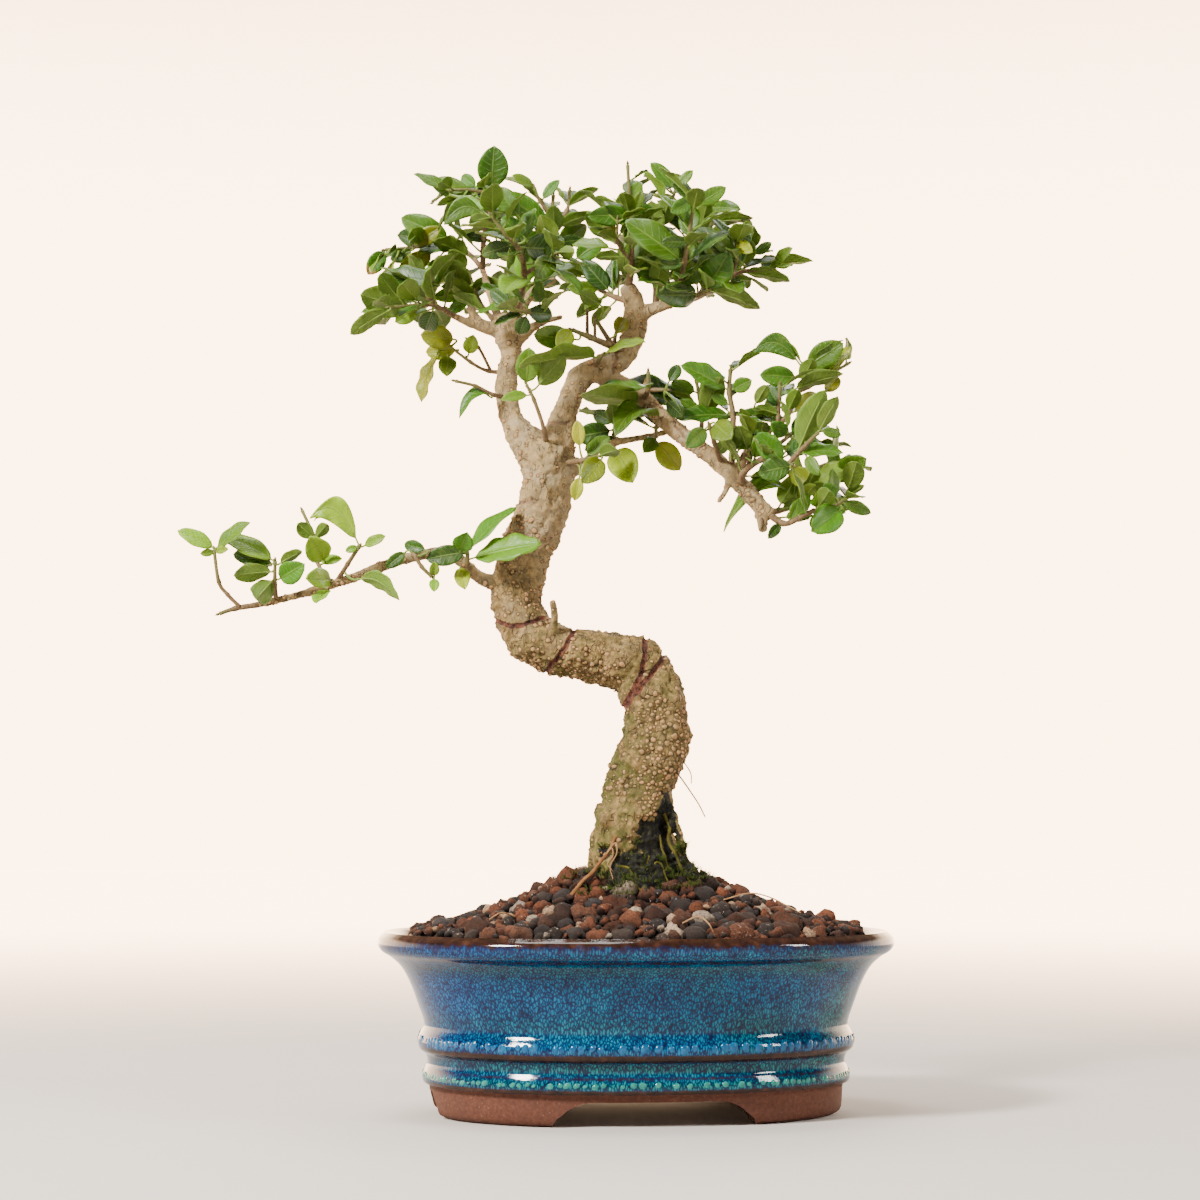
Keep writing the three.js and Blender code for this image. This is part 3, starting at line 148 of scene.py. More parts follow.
# Sprays: name, twig routes, and leaves as base and tip across and height, seen width, tone, rise.
# Tones: D dark green as painted shade for leaves behind, M mid green, F fresh, P pale underside in view, Y
# yellow-green.
SPRAYS = [
    ['left_tip', [[[-148, 196, -10, 1.2], [-157, 194.5, -11, 1], [-163, 192.5, -12, 0.7]],
      [[-155, 195, -11, 0.9], [-160, 200, -12, 0.8], [-163.5, 205, -13, 0.8], [-165.5, 217.5, -14, 0.7]]],
      [[-165, 218, -180, 225, 6, 'F'], [-165, 218, -151, 228, 5, 'F'], [-165, 217, -171, 216, 3, 'F'],
        [-165, 217, -160, 218, 3, 'F']]],
    ['left_second', [[[-141, 198, -9, 1.1], [-141.5, 204, -11, 0.9], [-141.5, 213, -13, 0.7]]],
      [[-141.5, 213, -163, 222.5, 7, 'F'], [-142, 212, -158, 216, 7, 'D'], [-142, 209, -158, 207.5, 7, 'P'],
        [-142, 206, -149, 198, 9, 'P'], [-140, 212, -131, 217, 4, 'P'], [-140, 206, -130, 212, 9, 'M']]],
    ['left_third', [[[-118.5, 203.5, -6, 1.1], [-122, 208, -2, 0.9], [-125, 213, 2, 0.8], [-126, 222, 5, 0.8],
      [-131, 233, 8, 0.6]]],
      [[-126, 222, -133, 228, 6, 'P'], [-126, 222, -121, 228, 5, 'P'], [-122, 213, -128, 223, 10, 'F'],
        [-119, 206, -130, 206, 8, 'F'], [-121, 202, -125, 196, 5, 'F'], [-124, 213, -115, 214, 4, 'F']]],
    ['left_arched', [[[-117, 205.5, -6, 1.1], [-113, 212, -12, 0.9], [-108.5, 219, -17, 0.8]]],
      [[-108.5, 219, -128, 230, 10, 'F', 9], [-107, 219, -98, 223, 4, 'F'], [-109, 219, -114, 217, 3, 'F'],
        [-109, 206, -93.5, 197.5, 6, 'P', 3]]],
    ['left_under', [[[-87, 215, -3, 1.2], [-87, 215.8, -9, 0.9], [-84, 211, -10, 0.8], [-80, 207, -10, 0.7]]],
      [[-90, 217, -98, 210.5, 5, 'D'], [-82, 217.5, -91, 220, 5, 'D'], [-79, 207, -79, 213, 4, 'F'],
        [-79, 206.5, -79, 201, 4, 'F']]],
    ['left_root', [[[-66, 211.5, -1, 1.3], [-66, 212, -7, 1], [-66, 216, -9, 0.8]]],
      [[-66, 217, -82, 214, 8, 'D'], [-69, 217, -66, 225, 8, 'M'], [-66, 217, -47, 234.5, 5, 'M'],
        [-65, 214, -37, 219.5, 9, 'F'], [-69, 211, -67, 202, 6, 'Y']]],
    ['pad_crest', [[[3, 277, -5, 1.5], [5, 281, -12, 1], [5, 288, -14, 0.7]],
      [[5, 281, -12, 0.9], [12, 281, -14, 0.7]]],
      [[5, 282, -19, 278.5, 5, 'M'], [2, 275, -20, 278, 8, 'P'], [13, 284, 17.5, 291, 5, 'D'],
        [12, 277, 19, 270, 6, 'D']]],
    ['pad_upright', [[[27, 256.5, -11, 1.3], [26, 264, -6, 1.1], [26, 272, -1, 0.9], [24, 285, 3, 0.7]]],
      [[26, 271.5, -11, 283, 9, 'D'], [24, 280, 14, 284, 6, 'M'], [27, 276, 31, 286, 8, 'M'],
        [26, 272, 17, 277, 5, 'M']]],
    ['pad_vertical', [[[38, 247.5, -14, 1.5], [38, 254, -13, 1.3], [38.5, 270, -10, 1.1], [37, 280, -8, 1],
      [37.5, 289, -6, 0.8]]],
      [[36.5, 281, 18, 291, 8, 'M'], [37, 275, 30, 279, 4, 'M'], [38, 271, 16, 269, 6, 'D'],
        [38, 271, 60, 268, 5, 'D'], [38, 281, 46, 285, 6, 'M'], [37, 261, 31, 254, 5, 'P']]],
    ['pad_front', [[[34, 251, -13, 1.2], [31, 260, -21, 0.9], [29, 267, -25, 0.7]]],
      [[31, 268, 38, 261, 9, 'F'], [28, 266, 20, 258, 7, 'M']]],
    ['pad_inner', [[[6, 262.5, 10, 1.1], [8, 262.5, 4, 0.9], [8, 266, -1, 0.7]]],
      [[8, 262, 3, 256, 6, 'M'], [8, 261, 17.5, 249, 9, 'Y'], [9, 267, -8, 262, 6, 'M', 7],
        [9, 266, 0, 275, 6, 'D']]],
    ['pad_dark', [[[-8, 260, 9, 1.1], [-8.5, 263, 15, 0.9], [-8, 268, 20, 0.7]]],
      [[-9, 265, -24, 262, 9, 'D'], [-8, 268, -17, 272, 6, 'D'], [-7, 262, -20, 257, 7, 'D'],
        [-8, 258, -1, 244, 12, 'Y']]],
    ['pad_knob', [[[-27, 252, -5, 1.3], [-21, 253, -13, 1], [-15, 254.5, -14, 0.8]]],
      [[-22, 258, -23, 269, 5, 'Y'], [-13, 254, -21, 244, 9, 'Y'], [-22, 247, -24, 237, 5, 'Y']]],
    ['pad_top', [[[40, 244.5, -14, 1.7], [44, 256, -17, 1.3], [52, 264, -19, 1.2], [60, 271, -18, 1.1],
      [63, 279, -16, 1], [68, 282, -13, 0.9], [74, 285.5, -11, 0.8], [84, 291.5, -8, 0.6]],
    [[56, 267.5, -19, 0.9], [57, 283, -20, 0.7]], [[66, 281, -14, 0.8], [67, 291, -15, 0.7]]],
      [[65, 291, 46.5, 296, 8, 'M', 6], [67, 290, 82, 299.5, 10, 'M'], [76, 287, 85, 298, 5, 'Y'],
        [64, 286, 49, 287, 8, 'M'], [67, 287, 75, 289, 5, 'D'], [62, 281, 82, 287, 6, 'P'],
        [80, 287, 75, 280, 6, 'Y'], [47, 275, 52, 283, 5, 'P'], [57, 274, 52, 283, 6, 'D'],
        [62, 272, 73, 279, 8, 'Y'], [57, 271, 47, 274, 4, 'P']]],
    ['pad_fan', [[[42, 242.5, -14, 1.6], [42.5, 248, -22, 1.3], [50, 253.5, -28, 1.2], [56, 253, -31, 1.1],
      [62, 251, -33, 0.8]], [[60, 251.5, -32, 1], [66, 258, -34, 0.9], [72, 264, -35, 0.7]],
    [[50, 253.5, -28, 1], [56, 259, -27, 0.9], [61, 263, -26, 0.7]], [[44, 249.5, -23, 0.9], [47, 260, -23, 0.7]]],
      [[64, 257, 75, 281, 10, 'P'], [72, 264, 80, 278, 6, 'P'], [73, 265, 81, 263, 4, 'M'],
        [58, 252, 48, 264, 9, 'M'], [60, 263, 53, 268, 6, 'M'], [62, 262, 66, 271, 5, 'D'],
        [47, 262, 46, 270, 7, 'D'], [47, 261, 40, 258, 4, 'M'], [63, 256, 82, 256, 5, 'M'],
        [62, 251, 48, 248, 9, 'D'], [61, 250, 67, 245, 8, 'Y'], [67, 255, 72, 247, 5, 'M']]],
    ['pad_end', [[[51, 233, -16, 1.8], [58, 228, -19, 1.2], [64, 230, -22, 1.1], [70, 233, -23, 1],
      [75, 233, -24, 0.9], [83, 238, -25, 0.7]]],
      [[81, 234, 69, 225, 11, 'M'], [81, 236.5, 92.5, 232, 5, 'M'], [79, 238, 74, 244, 5, 'M'],
        [83, 239, 90, 243, 3, 'P'], [73, 233, 77, 239, 5, 'P'], [71, 234, 74, 242, 4, 'F'],
        [64, 231, 68, 240, 5, 'M'], [57, 228, 52, 222, 4, 'D']]],
    ['pad_back_end', [[[51, 233, -15, 1.6], [56, 233, -10, 1.2], [64, 236, -7, 1.1], [67, 243, -5, 1],
      [72, 250, -3, 0.9], [82, 253.5, -2, 0.7]]],
      [[63, 238, 36, 224, 6, 'M', 11], [66, 241, 90, 252, 8, 'F'], [80, 247, 91, 254, 10, 'M'],
        [80, 251, 76, 258, 5, 'M']]],
    ['top_left_reach', [[[-72, 310.6, -7, 1.1], [-78, 314, -11, 0.9], [-84, 315, -14, 0.8], [-97, 314, -18, 0.6]],
      [[-77, 313.5, -10, 0.8], [-82, 318, -13, 0.7], [-83, 322, -14, 0.6]]],
      [[-88, 313, -109, 319, 12, 'P'], [-97, 313, -112.5, 303, 6, 'P'], [-86, 313, -95, 308, 6, 'F'],
        [-80, 313, -83, 305, 8, 'D'], [-78, 323, -101, 326, 8, 'D']]],
    ['top_left_low', [[[-53, 306, 2, 1.3], [-57, 310, 8, 1.1], [-62, 317, 13, 0.9], [-66, 328, 17, 0.7]]],
      [[-65, 328, -78, 326, 5, 'D'], [-68, 329, -82, 331, 5, 'D'], [-66, 319, -57, 326, 4, 'P'],
        [-67, 322, -77, 322, 4, 'F'], [-67, 320, -80, 318, 6, 'P'], [-66, 317, -74, 312, 5, 'M']]],
    ['top_left_outer', [[[-61, 330, 15, 1.1], [-67, 336, 19, 1], [-78, 338.5, 20, 0.9], [-99, 337, 16, 0.6]]],
      [[-73, 341, -93, 350, 10, 'M'], [-78, 340, -94, 343, 8, 'D'], [-88, 339, -77, 346, 7, 'Y'],
        [-67, 338, -86, 336, 4, 'M'], [-80, 336, -94, 328, 8, 'Y'], [-88, 337, -97, 333, 6, 'D'],
        [-99, 337, -106, 327, 7, 'M']]],
    ['top_left_crown', [[[-60.5, 329, 15, 1.2], [-60, 342, 9, 1.1], [-58, 352, 5, 1], [-59, 359, 3, 0.9],
      [-66, 361, 1, 0.7], [-73, 361, 0, 0.6]]],
      [[-74, 361, -88, 367, 4, 'M'], [-64, 359, -81, 364.5, 8, 'M'], [-63, 362, -69, 367, 5, 'M'],
        [-64, 357, -79, 355, 4, 'P'], [-57, 361, -56, 379, 12, 'M'], [-55, 341, -58, 349, 5, 'M'],
        [-58, 341, -67, 343, 4, 'D'], [-50, 353, -63, 361, 8, 'D']]],
    ['top_left_front', [[[-47, 311, 2, 1.6], [-45, 319, -9, 1.3], [-44, 328, -19, 1.2], [-46, 337, -27, 1],
      [-52, 344, -31, 0.9], [-57, 350.5, -33, 0.7]],
    [[-44, 327, -18, 1], [-38, 331, -23, 0.9], [-32, 335, -26, 0.7]]],
      [[-46, 350, -55, 362, 8, 'M'], [-60, 351, -76, 347, 8, 'M', 5], [-57, 350, -66, 348, 5, 'P'],
        [-45, 338, -31, 337, 12, 'D'], [-44, 342, -53, 350, 7, 'M'], [-49, 339, -61, 335, 7, 'D'],
        [-33, 335, -39, 325, 8, 'M'], [-31, 336, -24, 336, 5, 'P']]],
    ['top_left_behind', [[[-33, 324.5, 12, 1.3], [-31, 333, 17, 1.1], [-32, 342, 20, 1], [-33, 350, 21, 0.9],
      [-32.5, 359, 21, 0.7]], [[-33, 349, 21, 0.8], [-38, 357, 20, 0.7], [-40, 362, 19, 0.6]],
    [[-32, 345, 20, 0.8], [-27, 353, 22, 0.7], [-26, 361, 23, 0.6]]],
      [[-36, 348, -43, 355, 5, 'D'], [-31, 346, -16, 352, 5, 'P'], [-31, 340, -21, 341, 5, 'D'],
        [-34, 346, -52, 360, 10, 'M'], [-24, 333, -13, 341, 8, 'M'], [-27, 354, -14.5, 362, 4, 'P'],
        [-34, 341, -48, 342, 4, 'M'], [-40, 362, -49, 367, 4, 'F'], [-37, 357, -30, 365, 4, 'M']]],
    ['top_left_inner', [[[-36, 308, -10, 1.3], [-38, 311, -17, 1], [-43, 312, -21, 0.8], [-48, 313, -23, 0.7]]],
      [[-49, 314, -57, 321, 6, 'D'], [-43, 312, -33, 311, 7, 'D'], [-43, 311, -46, 303, 6, 'D']]],
    ['fork_twig', [[[-35, 256, -3, 1.5], [-36, 265, -10, 1], [-40, 277, -13, 0.8], [-43, 283, -14, 0.7]]],
      [[-39, 282, -28, 295, 9, 'P'], [-43, 283, -42, 298, 9, 'F'], [-42, 279, -53, 277, 4, 'F']]],
    ['leader_wisp', [[[-50.5, 278, 2, 1.2], [-56, 279, -4, 0.8], [-63, 282.5, -6, 0.7], [-71, 284.5, -8, 0.6]]],
      [[-57, 278, -69.5, 269.6, 4, 'M', 5]]],
    ['leader_stalks', [[[-50.4, 288, 1, 1.2], [-58, 288.5, 6, 0.8], [-65, 292, 8, 0.7], [-78, 302, 11, 0.6]],
      [[-57, 288.4, 6, 0.7], [-62, 298, 9, 0.6], [-66, 301, 10, 0.6]]],
      [[-71, 301, -85, 303, 9, 'Y'], [-70, 297, -83, 296, 7, 'Y'], [-66, 295, -64, 303, 6, 'Y'],
        [-74, 295, -74.5, 286, 7, 'Y'], [-78, 296, -84, 276, 5, 'Y']]],
    ['elbow_shoot', [[[-17, 289, 0, 1.4], [-15, 292, -6, 1], [-13, 295, -9, 0.7]]],
      [[-14, 294, -45, 290, 6, 'P'], [-13, 295, 4, 300.5, 3, 'F']]],
    ['leader_brown', [[[-3, 297.5, 0, 1.8], [-8, 298, -7, 1.5], [-18, 302, -12, 1.2], [-25, 305, -14, 0.8]],
      [[-9, 298.5, -8, 1.2], [-15, 308, -9, 0.8]]],
      [[-23, 301, -40, 303, 9, 'P'], [-25, 305, -31, 298, 7, 'Y'], [-14, 315, -22, 320, 6, 'P'],
        [-8, 303, -4, 310, 6, 'Y']]],
    ['top_mid_upright', [[[-3, 320, 1, 1.8], [-1.5, 331, -5, 1.2], [-1.5, 341, -10, 1], [-2, 352, -13, 0.9],
      [-3, 371, -14, 0.6]], [[-2, 333, -6, 0.8], [-7, 340, -12, 0.7], [-7, 349, -15, 0.6]]],
      [[-1, 351, -19, 350.5, 8, 'M'], [-2, 357, 2, 364, 5, 'F'], [-0.5, 352, 3, 361, 4, 'F'],
        [0, 352, 7, 354, 4, 'M'], [-8, 343, -13, 350, 4, 'Y'], [-7, 341, -15, 344, 4, 'P'],
        [-5, 334, -16, 334, 4, 'P']]],
    ['top_mid_low', [[[-1.5, 316, 1, 1.6], [-8, 318, 8, 1.1], [-14, 321, 13, 0.9], [-18, 326, 15, 0.7]]],
      [[-10, 320, -21, 333, 8, 'D'], [-18, 327, -28, 331, 5, 'P'], [-9, 320, -8, 334, 5, 'D'],
        [-14, 321, -27, 322, 6, 'F'], [-13, 318, -20, 313, 5, 'P']]],
    ['top_right_lean', [[[8, 313.5, -2, 1.6], [8, 323, 4, 1.1], [7, 334, 9, 1], [9, 342, 12, 0.9],
      [14, 355, 15, 0.8], [17, 365, 16, 0.6]]],
      [[8, 322, 3, 337, 11, 'M'], [19, 350, 4, 353, 6, 'D'], [16, 361, 6, 372, 6, 'M'],
        [16, 361, 23, 369, 4, 'M'], [12, 349, 22, 350, 5, 'D']]],
    ['top_right_front', [[[17, 316.5, -4, 1.5], [18, 325, -16, 1.1], [19.5, 332, -23, 1], [21, 341, -27, 0.9],
      [23.5, 358, -30, 0.6]]],
      [[19, 332, -4, 349, 11, 'M'], [20, 332, 9, 331, 5, 'D'], [18, 324, 28, 329, 6, 'M'],
        [22, 340, 10, 340, 5, 'D'], [23, 357, 14, 352, 6, 'M'], [24, 356, 15, 364, 5, 'D'],
        [24, 355, 36, 362, 6, 'M']]],
    ['top_right_mid', [[[27, 319.5, -6, 1.3], [28, 329, 1, 1.1], [26, 338, 5, 0.9], [26, 346, 7, 0.8],
      [30, 355, 9, 0.6]]],
      [[28, 330, 27, 341, 5, 'D'], [26, 347, 46.5, 349, 6, 'P'], [25, 345, 36, 352, 5, 'M'],
        [30, 354, 42, 353, 6, 'M'], [27, 331, 18, 337, 5, 'D']]],
    ['top_right_twig', [[[33, 322.5, -8, 1.2], [38, 328, -15, 1], [40, 333, -19, 0.8], [40, 340, -22, 0.6]]],
      [[38, 344, 46, 341, 5, 'D'], [40, 340, 46.5, 336, 5, 'Y'], [43, 331, 21, 345.5, 6, 'D'],
        [40, 333, 30, 344, 6, 'F']]],
    ['top_right_tip', [[[33.5, 322.7, -8, 1.1], [41, 328, -8, 0.9], [50, 328.8, -9, 0.7], [54, 329.2, -10, 0.6]],
      [[42, 328, -8, 0.7], [47, 336, -8, 0.6]]],
      [[39, 327, 41, 318, 6, 'D'], [42, 328, 61, 324, 5, 'P'], [52, 330, 70.5, 332.5, 4, 'P'],
        [54, 329, 62, 338, 4, 'F'], [47, 335, 54, 340, 4, 'M']]],
    ['top_right_low', [[[22, 317.7, -5, 1.5], [25, 319, -13, 1.1], [29, 321, -16, 0.8]]],
      [[25, 319, 8, 319, 10, 'D'], [28, 321, 37, 336, 12, 'M'], [29, 321, 49, 313, 6, 'P']]],
]

FAR_SPRAYS = ['left_second', 'left_arched', 'pad_crest', 'pad_fan', 'pad_end', 'top_left_reach',
  'top_left_front', 'top_mid_upright', 'top_right_front', 'top_right_twig', 'top_right_low']

pot_low, pot_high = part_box("pot")
POT_MIDDLE = np.array([(pot_low.x + pot_high.x) / 2, (pot_low.y + pot_high.y) / 2, 0]) / MM
TURN = np.array([
    [math.cos(TREE_TURN), -math.sin(TREE_TURN), 0],
    [math.sin(TREE_TURN), math.cos(TREE_TURN), 0],
    [0, 0, 1],
])
UP = np.array([0.0, 0.0, 1.0])
# How far a tube's end stands out, as a share of its radius there.
TUBE_END = 0.4


def scatter(item, use):
    """A number from 0 to 1 that looks random but is always the same for the same two numbers."""
    wave = math.sin(item * 12.9898 + use * 78.233) * 43758.5453
    return wave - math.floor(wave)


def placed(across, height, depth):
    """The point at a depth that is seen, from the front, at this distance across and height."""
    spread = (EYE_DISTANCE + depth) / EYE_DISTANCE
    point = np.array([
        EYE_ACROSS + (across - EYE_ACROSS) * spread, depth, EYE_HEIGHT + (height - EYE_HEIGHT) * spread])
    return TURN @ point + POT_MIDDLE


def seen(points):
    """Where points in millimetres are seen from the front: across, height and depth."""
    local = (np.atleast_2d(points) - POT_MIDDLE) @ TURN
    spread = (EYE_DISTANCE + local[:, 1]) / EYE_DISTANCE
    across = EYE_ACROSS + (local[:, 0] - EYE_ACROSS) / spread
    height = EYE_HEIGHT + (local[:, 2] - EYE_HEIGHT) / spread
    return across, height, local[:, 1]


EYE = placed(EYE_ACROSS, EYE_HEIGHT, -EYE_DISTANCE)


def unit(vector):
    return vector / max(np.linalg.norm(vector), 1e-9)


def angles(count):
    """Equal turns round a circle."""
    return [2 * math.pi * step / count for step in range(count)]


class Shell:
    """Collects points, faces and their colours, and makes one object of them."""

    def __init__(self):
        self.points = []
        self.faces = []
        self.slots = []
        self.data = {}

    def add(self, points, faces, slot=0, **data):
        start = len(self.points)
        self.points.extend(points)
        self.faces.extend([tuple(corner + start for corner in face) for face in faces])
        self.slots.extend([slot] * len(faces))
        for name, values in data.items():
            self.data.setdefault(name, []).extend(values)

    def build(self, name, *materials):
        mesh = bpy.data.meshes.new(name)
        mesh.from_pydata((np.array(self.points) * MM).tolist(), [], self.faces)
        for material in materials:
            mesh.materials.append(material)
        mesh.polygons.foreach_set("material_index", self.slots)
        mesh.polygons.foreach_set("use_smooth", [True] * len(self.faces))
        for key, values in self.data.items():
            add_colours(mesh, key, np.array(values))
        mesh.update()
        piece = bpy.data.objects.new(name, mesh)
        bpy.context.scene.collection.objects.link(piece)
        return piece


def add_colours(mesh, name, values):
    """Four numbers for each point of a mesh, under one name."""
    layer = mesh.attributes.new(name, "FLOAT_COLOR", "POINT")
    layer.data.foreach_set("color", values.astype(np.float32).ravel())


def carry(piece, slot, *nodes):
    """The piece rides on the part and stands for these nodes. The slot is not used."""
    if nodes:
        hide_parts(*nodes)
    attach(piece, "root")
    return piece


def mesh_rows(items, field, width=3):
    """One field of all points or faces of a mesh, a row for each."""
    rows = np.empty(len(items) * width, dtype=np.float32)
    items.foreach_get(field, rows)
    return rows.reshape(-1, width).astype(float)


def search_tree(points):
    tree = kdtree.KDTree(len(points))
    for index, point in enumerate(points):
        tree.insert(point, index)
    tree.balance()
    return tree


def ring_faces(rings, sides, first=0):
    """Quads between rings that have the same number of points."""
    faces = []
    for ring in range(rings - 1):
        for side in range(sides):
            a = first + ring * sides + side
            b = first + ring * sides + (side + 1) % sides
            faces.append((a, b, b + sides, a + sides))
    return faces


def fan_faces(centre, first, sides, flip=False):
    """Triangles between one point and a ring of points."""
    faces = []
    for side in range(sides):
        a, b = first + side, first + (side + 1) % sides
        faces.append((b, a, centre) if flip else (a, b, centre))
    return faces


def smooth_route(stops, steps):
    """A Catmull-Rom curve through stops of any width, with steps pieces between two stops."""
    stops = np.array(stops, dtype=float)
    ends = np.vstack([2 * stops[0] - stops[1], stops, 2 * stops[-1] - stops[-2]])
    out = []
    for index in range(len(stops) - 1):
        p0, p1, p2, p3 = ends[index:index + 4]
        for step in range(steps):
            t = step / steps
            out.append(0.5 * (2 * p1 + (p2 - p0) * t + (2 * p0 - 5 * p1 + 4 * p2 - p3) * t * t
                              + (3 * p1 - p0 - 3 * p2 + p3) * t ** 3))
    out.append(stops[-1])
    return np.array(out)


def route_line(route, steps):
    """Smooth line along a route of across, height, depth and radius: rows of a point and the radius there."""
    return smooth_route([[*placed(u, v, depth), radius] for u, v, depth, radius in route], steps)


def tube(centres, radii, sides, squeeze=None):
    """Points and faces of a closed tube with blunt ends through centres in millimetres."""
    points = []
    across = np.array([0.3, 1.0, 0.2])
    last = len(centres) - 1
    for index, centre in enumerate(centres):
        along = unit(centres[min(index + 1, last)] - centres[max(index - 1, 0)])
        across = unit(across - along * (across @ along))
        beside = np.cross(along, across)
        for angle in angles(sides):
            reach = radii[index] * (squeeze(index, angle) if squeeze else 1)
            points.append(centre + (across * math.cos(angle) + beside * math.sin(angle)) * reach)
    faces = ring_faces(len(centres), sides)
    for end, inner in ((0, 1), (last, last - 1)):
        faces += fan_faces(len(points), end * sides, sides, flip=end == 0)
        points.append(centres[end] + unit(centres[end] - centres[inner]) * radii[end] * TUBE_END)
    return points, faces


def seat_on(stems, u, v):
    """The nearest place on a spray's twigs as seen from the front: its distance and the place."""
    best = (math.inf, None)
    for route in stems:
        for (u0, v0, d0, _), (u1, v1, d1, _) in zip(route, route[1:]):
            reach = (u1 - u0) ** 2 + (v1 - v0) ** 2
            along = ((u - u0) * (u1 - u0) + (v - v0) * (v1 - v0)) / reach if reach else 0
            share = min(max(along, 0), 1)
            seat = (u0 + (u1 - u0) * share, v0 + (v1 - v0) * share, d0 + (d1 - d0) * share)
            distance = math.hypot(u - seat[0], v - seat[1])
            if distance < best[0]:
                best = (distance, seat)
    return best


class Lie:
    """How one leaf lies: its seat on the twig, bent midrib, side direction, width and length."""

    def __init__(self, item, tone, seat, base, tip, normal, width, rise=0.0, brown=False):
        self.item, self.tone, self.brown = item, tone, brown
        self.seat, self.base, self.tip, self.width = seat, base, tip, width
        self.stalk = np.linalg.norm(base - seat)
        self.length = np.linalg.norm(tip - base)
        self.middle = (base + tip) / 2 + normal * (2 * ARCH * self.length) + UP * (2 * rise)
        self.side = unit(np.cross(unit(tip - base), normal))

    def at(self, share):
        """Point of the midrib, and its direction, at a share of the length."""
        back = 1 - share
        point = self.base * back * back + self.middle * (2 * share * back) + self.tip * share * share
        course = (self.middle - self.base) * (2 * back) + (self.tip - self.middle) * (2 * share)
        return point, unit(course)

    def samples(self):
        """Points of the blade for the test of room round it."""
        out = []
        for share, fullness in SAMPLE_SHARES:
            centre, course = self.at(share)
            if fullness == 0:
                out.append(centre)
                continue
            up = unit(np.cross(self.side, course))
            half = self.width / 2 * fullness
            reach = self.side * half * math.cos(SAMPLE_FOLD)
            lift = up * half * math.sin(SAMPLE_FOLD)
            out += [centre - reach + lift, centre, centre + reach + lift]
        return np.array(out)


def lie_of_row(spray, row, item, shift):
    """The lie of a leaf of the table, leaned towards or away from the viewer by a shift."""
    u0, v0, u1, v1, width_seen, tone = row[:6]
    rise = row[6] if len(row) > 6 else 0
    face, size = spray["face"], spray["shrink"]
    stalk, seat = seat_on(spray["stems"], u0, v0)
    flat = math.hypot(u1 - u0, v1 - v0)
    wanted = width_seen / WIDEST_TO_LENGTH
    lean = LEAN_OF_TONE[tone] * flat + LEAN_SPREAD * (scatter(item, 4) - 0.5) * flat
    least = math.sqrt(wanted ** 2 - flat ** 2) if flat < wanted else 0
    lean = math.copysign(max(abs(lean), least), lean)
    depth = seat[2] - face * STALK_SLANT * stalk
    base = placed(u0, v0, depth)
    tip = placed(u0 + (u1 - u0) * size, v0 + (v1 - v0) * size, depth - face * lean + shift)
    length = np.linalg.norm(tip - base)
    along = (tip - base) / length
    width = max(width_seen * size, WIDTH_TO_LENGTH * length)
    facing = EYE - base
    facing = unit(facing - along * (facing @ along))
    roll = math.acos(min(1, width_seen * size / width))
    beside = np.cross(along, facing)
    front = facing * math.cos(roll) * (-1 if tone == "P" else 1) * face
    tilted = [front + beside * (way * math.sin(roll)) for way in (1, -1)]
    normal = tilted[0] if tilted[0][2] >= tilted[1][2] else tilted[1]
    return Lie(item, tone, placed(*seat), base, tip, normal, width, rise, tuple(row[:4]) in BROWN_TIPS)


def segments_of(routes):
    """Start, line and radius of every straight piece of some routes."""
    out = []
    for route in routes:
        for a, b in zip(route, route[1:]):
            start = placed(*a[:3])
            out.append(np.hstack([start, placed(*b[:3]) - start, max(a[3], b[3])]))
    return np.array(out)


def room_to(samples, segments):
    """Smallest distance from sample points to segments with their radius."""
    start, line, radius = segments[:, :3], segments[:, 3:6], segments[:, 6]
    offset = samples[:, None] - start[None]
    share = np.clip((offset * line).sum(2) / (line ** 2).sum(1), 0, 1)
    return (np.linalg.norm(offset - line * share[..., None], axis=2) - radius).min()


def room_of(samples, solids, taken):
    """Room that sample points have to solids and to the points of leaves that are there already."""
    room = room_to(samples, solids)
    if taken:
        others = np.vstack(taken)
        room = min(room, np.linalg.norm(samples[:, None] - others[None], axis=2).min())
    return room


def settle(sprays, wood, taken):
    """Every leaf takes the first lean that keeps it off the wood, other twigs and other leaves."""
    segments = [segments_of(spray["stems"]) for spray in sprays]
    for own, spray in enumerate(sprays):
        solids = np.vstack([wood] + segments[:own] + segments[own + 1:])
        for row, item in spray["leaves"]:
            best = (-math.inf, None, None)
            for shift in SHIFTS:
                lie = lie_of_row(spray, row, item, shift)
                samples = lie.samples()
                room = room_of(samples, solids, taken)
                if room > best[0]:
                    best = (room, lie, samples)
                if room > ENOUGH_ROOM:
                    break
            taken.append(best[2])
            spray["lies"].append(best[1])


# Outlines of the two dense parts of the foliage as seen from the front, across and height.
CROWN = [
    (-112, 304), (-109, 320), (-105, 332), (-101, 338), (-93, 341), (-89, 351), (-79, 357), (-88, 367), (-67, 364),
    (-66, 376), (-55, 378), (-52, 364), (-36, 363), (-14, 362), (-18, 353), (-4, 362), (6, 373), (20, 365), (42, 357),
    (42, 351), (47, 349), (46, 337), (71, 333), (54, 325), (50, 313), (35, 320), (20, 313), (13, 315), (1, 325),
    (-9, 315), (-14, 301), (-26, 296), (-31, 303), (-43, 306), (-53, 306), (-67, 301), (-77, 289), (-84, 277),
    (-86, 289), (-84, 306), (-101, 306),
]
PAD = [
    (-21, 280), (-18, 285), (3, 290), (20, 292), (40, 291), (46, 299), (64, 303), (84, 303), (84, 290), (79, 273),
    (81, 265), (91, 253), (92, 236), (76, 227), (59, 231), (64, 241), (52, 248), (40, 256), (20, 270), (3, 263),
    (-21, 246), (-26, 260),
]
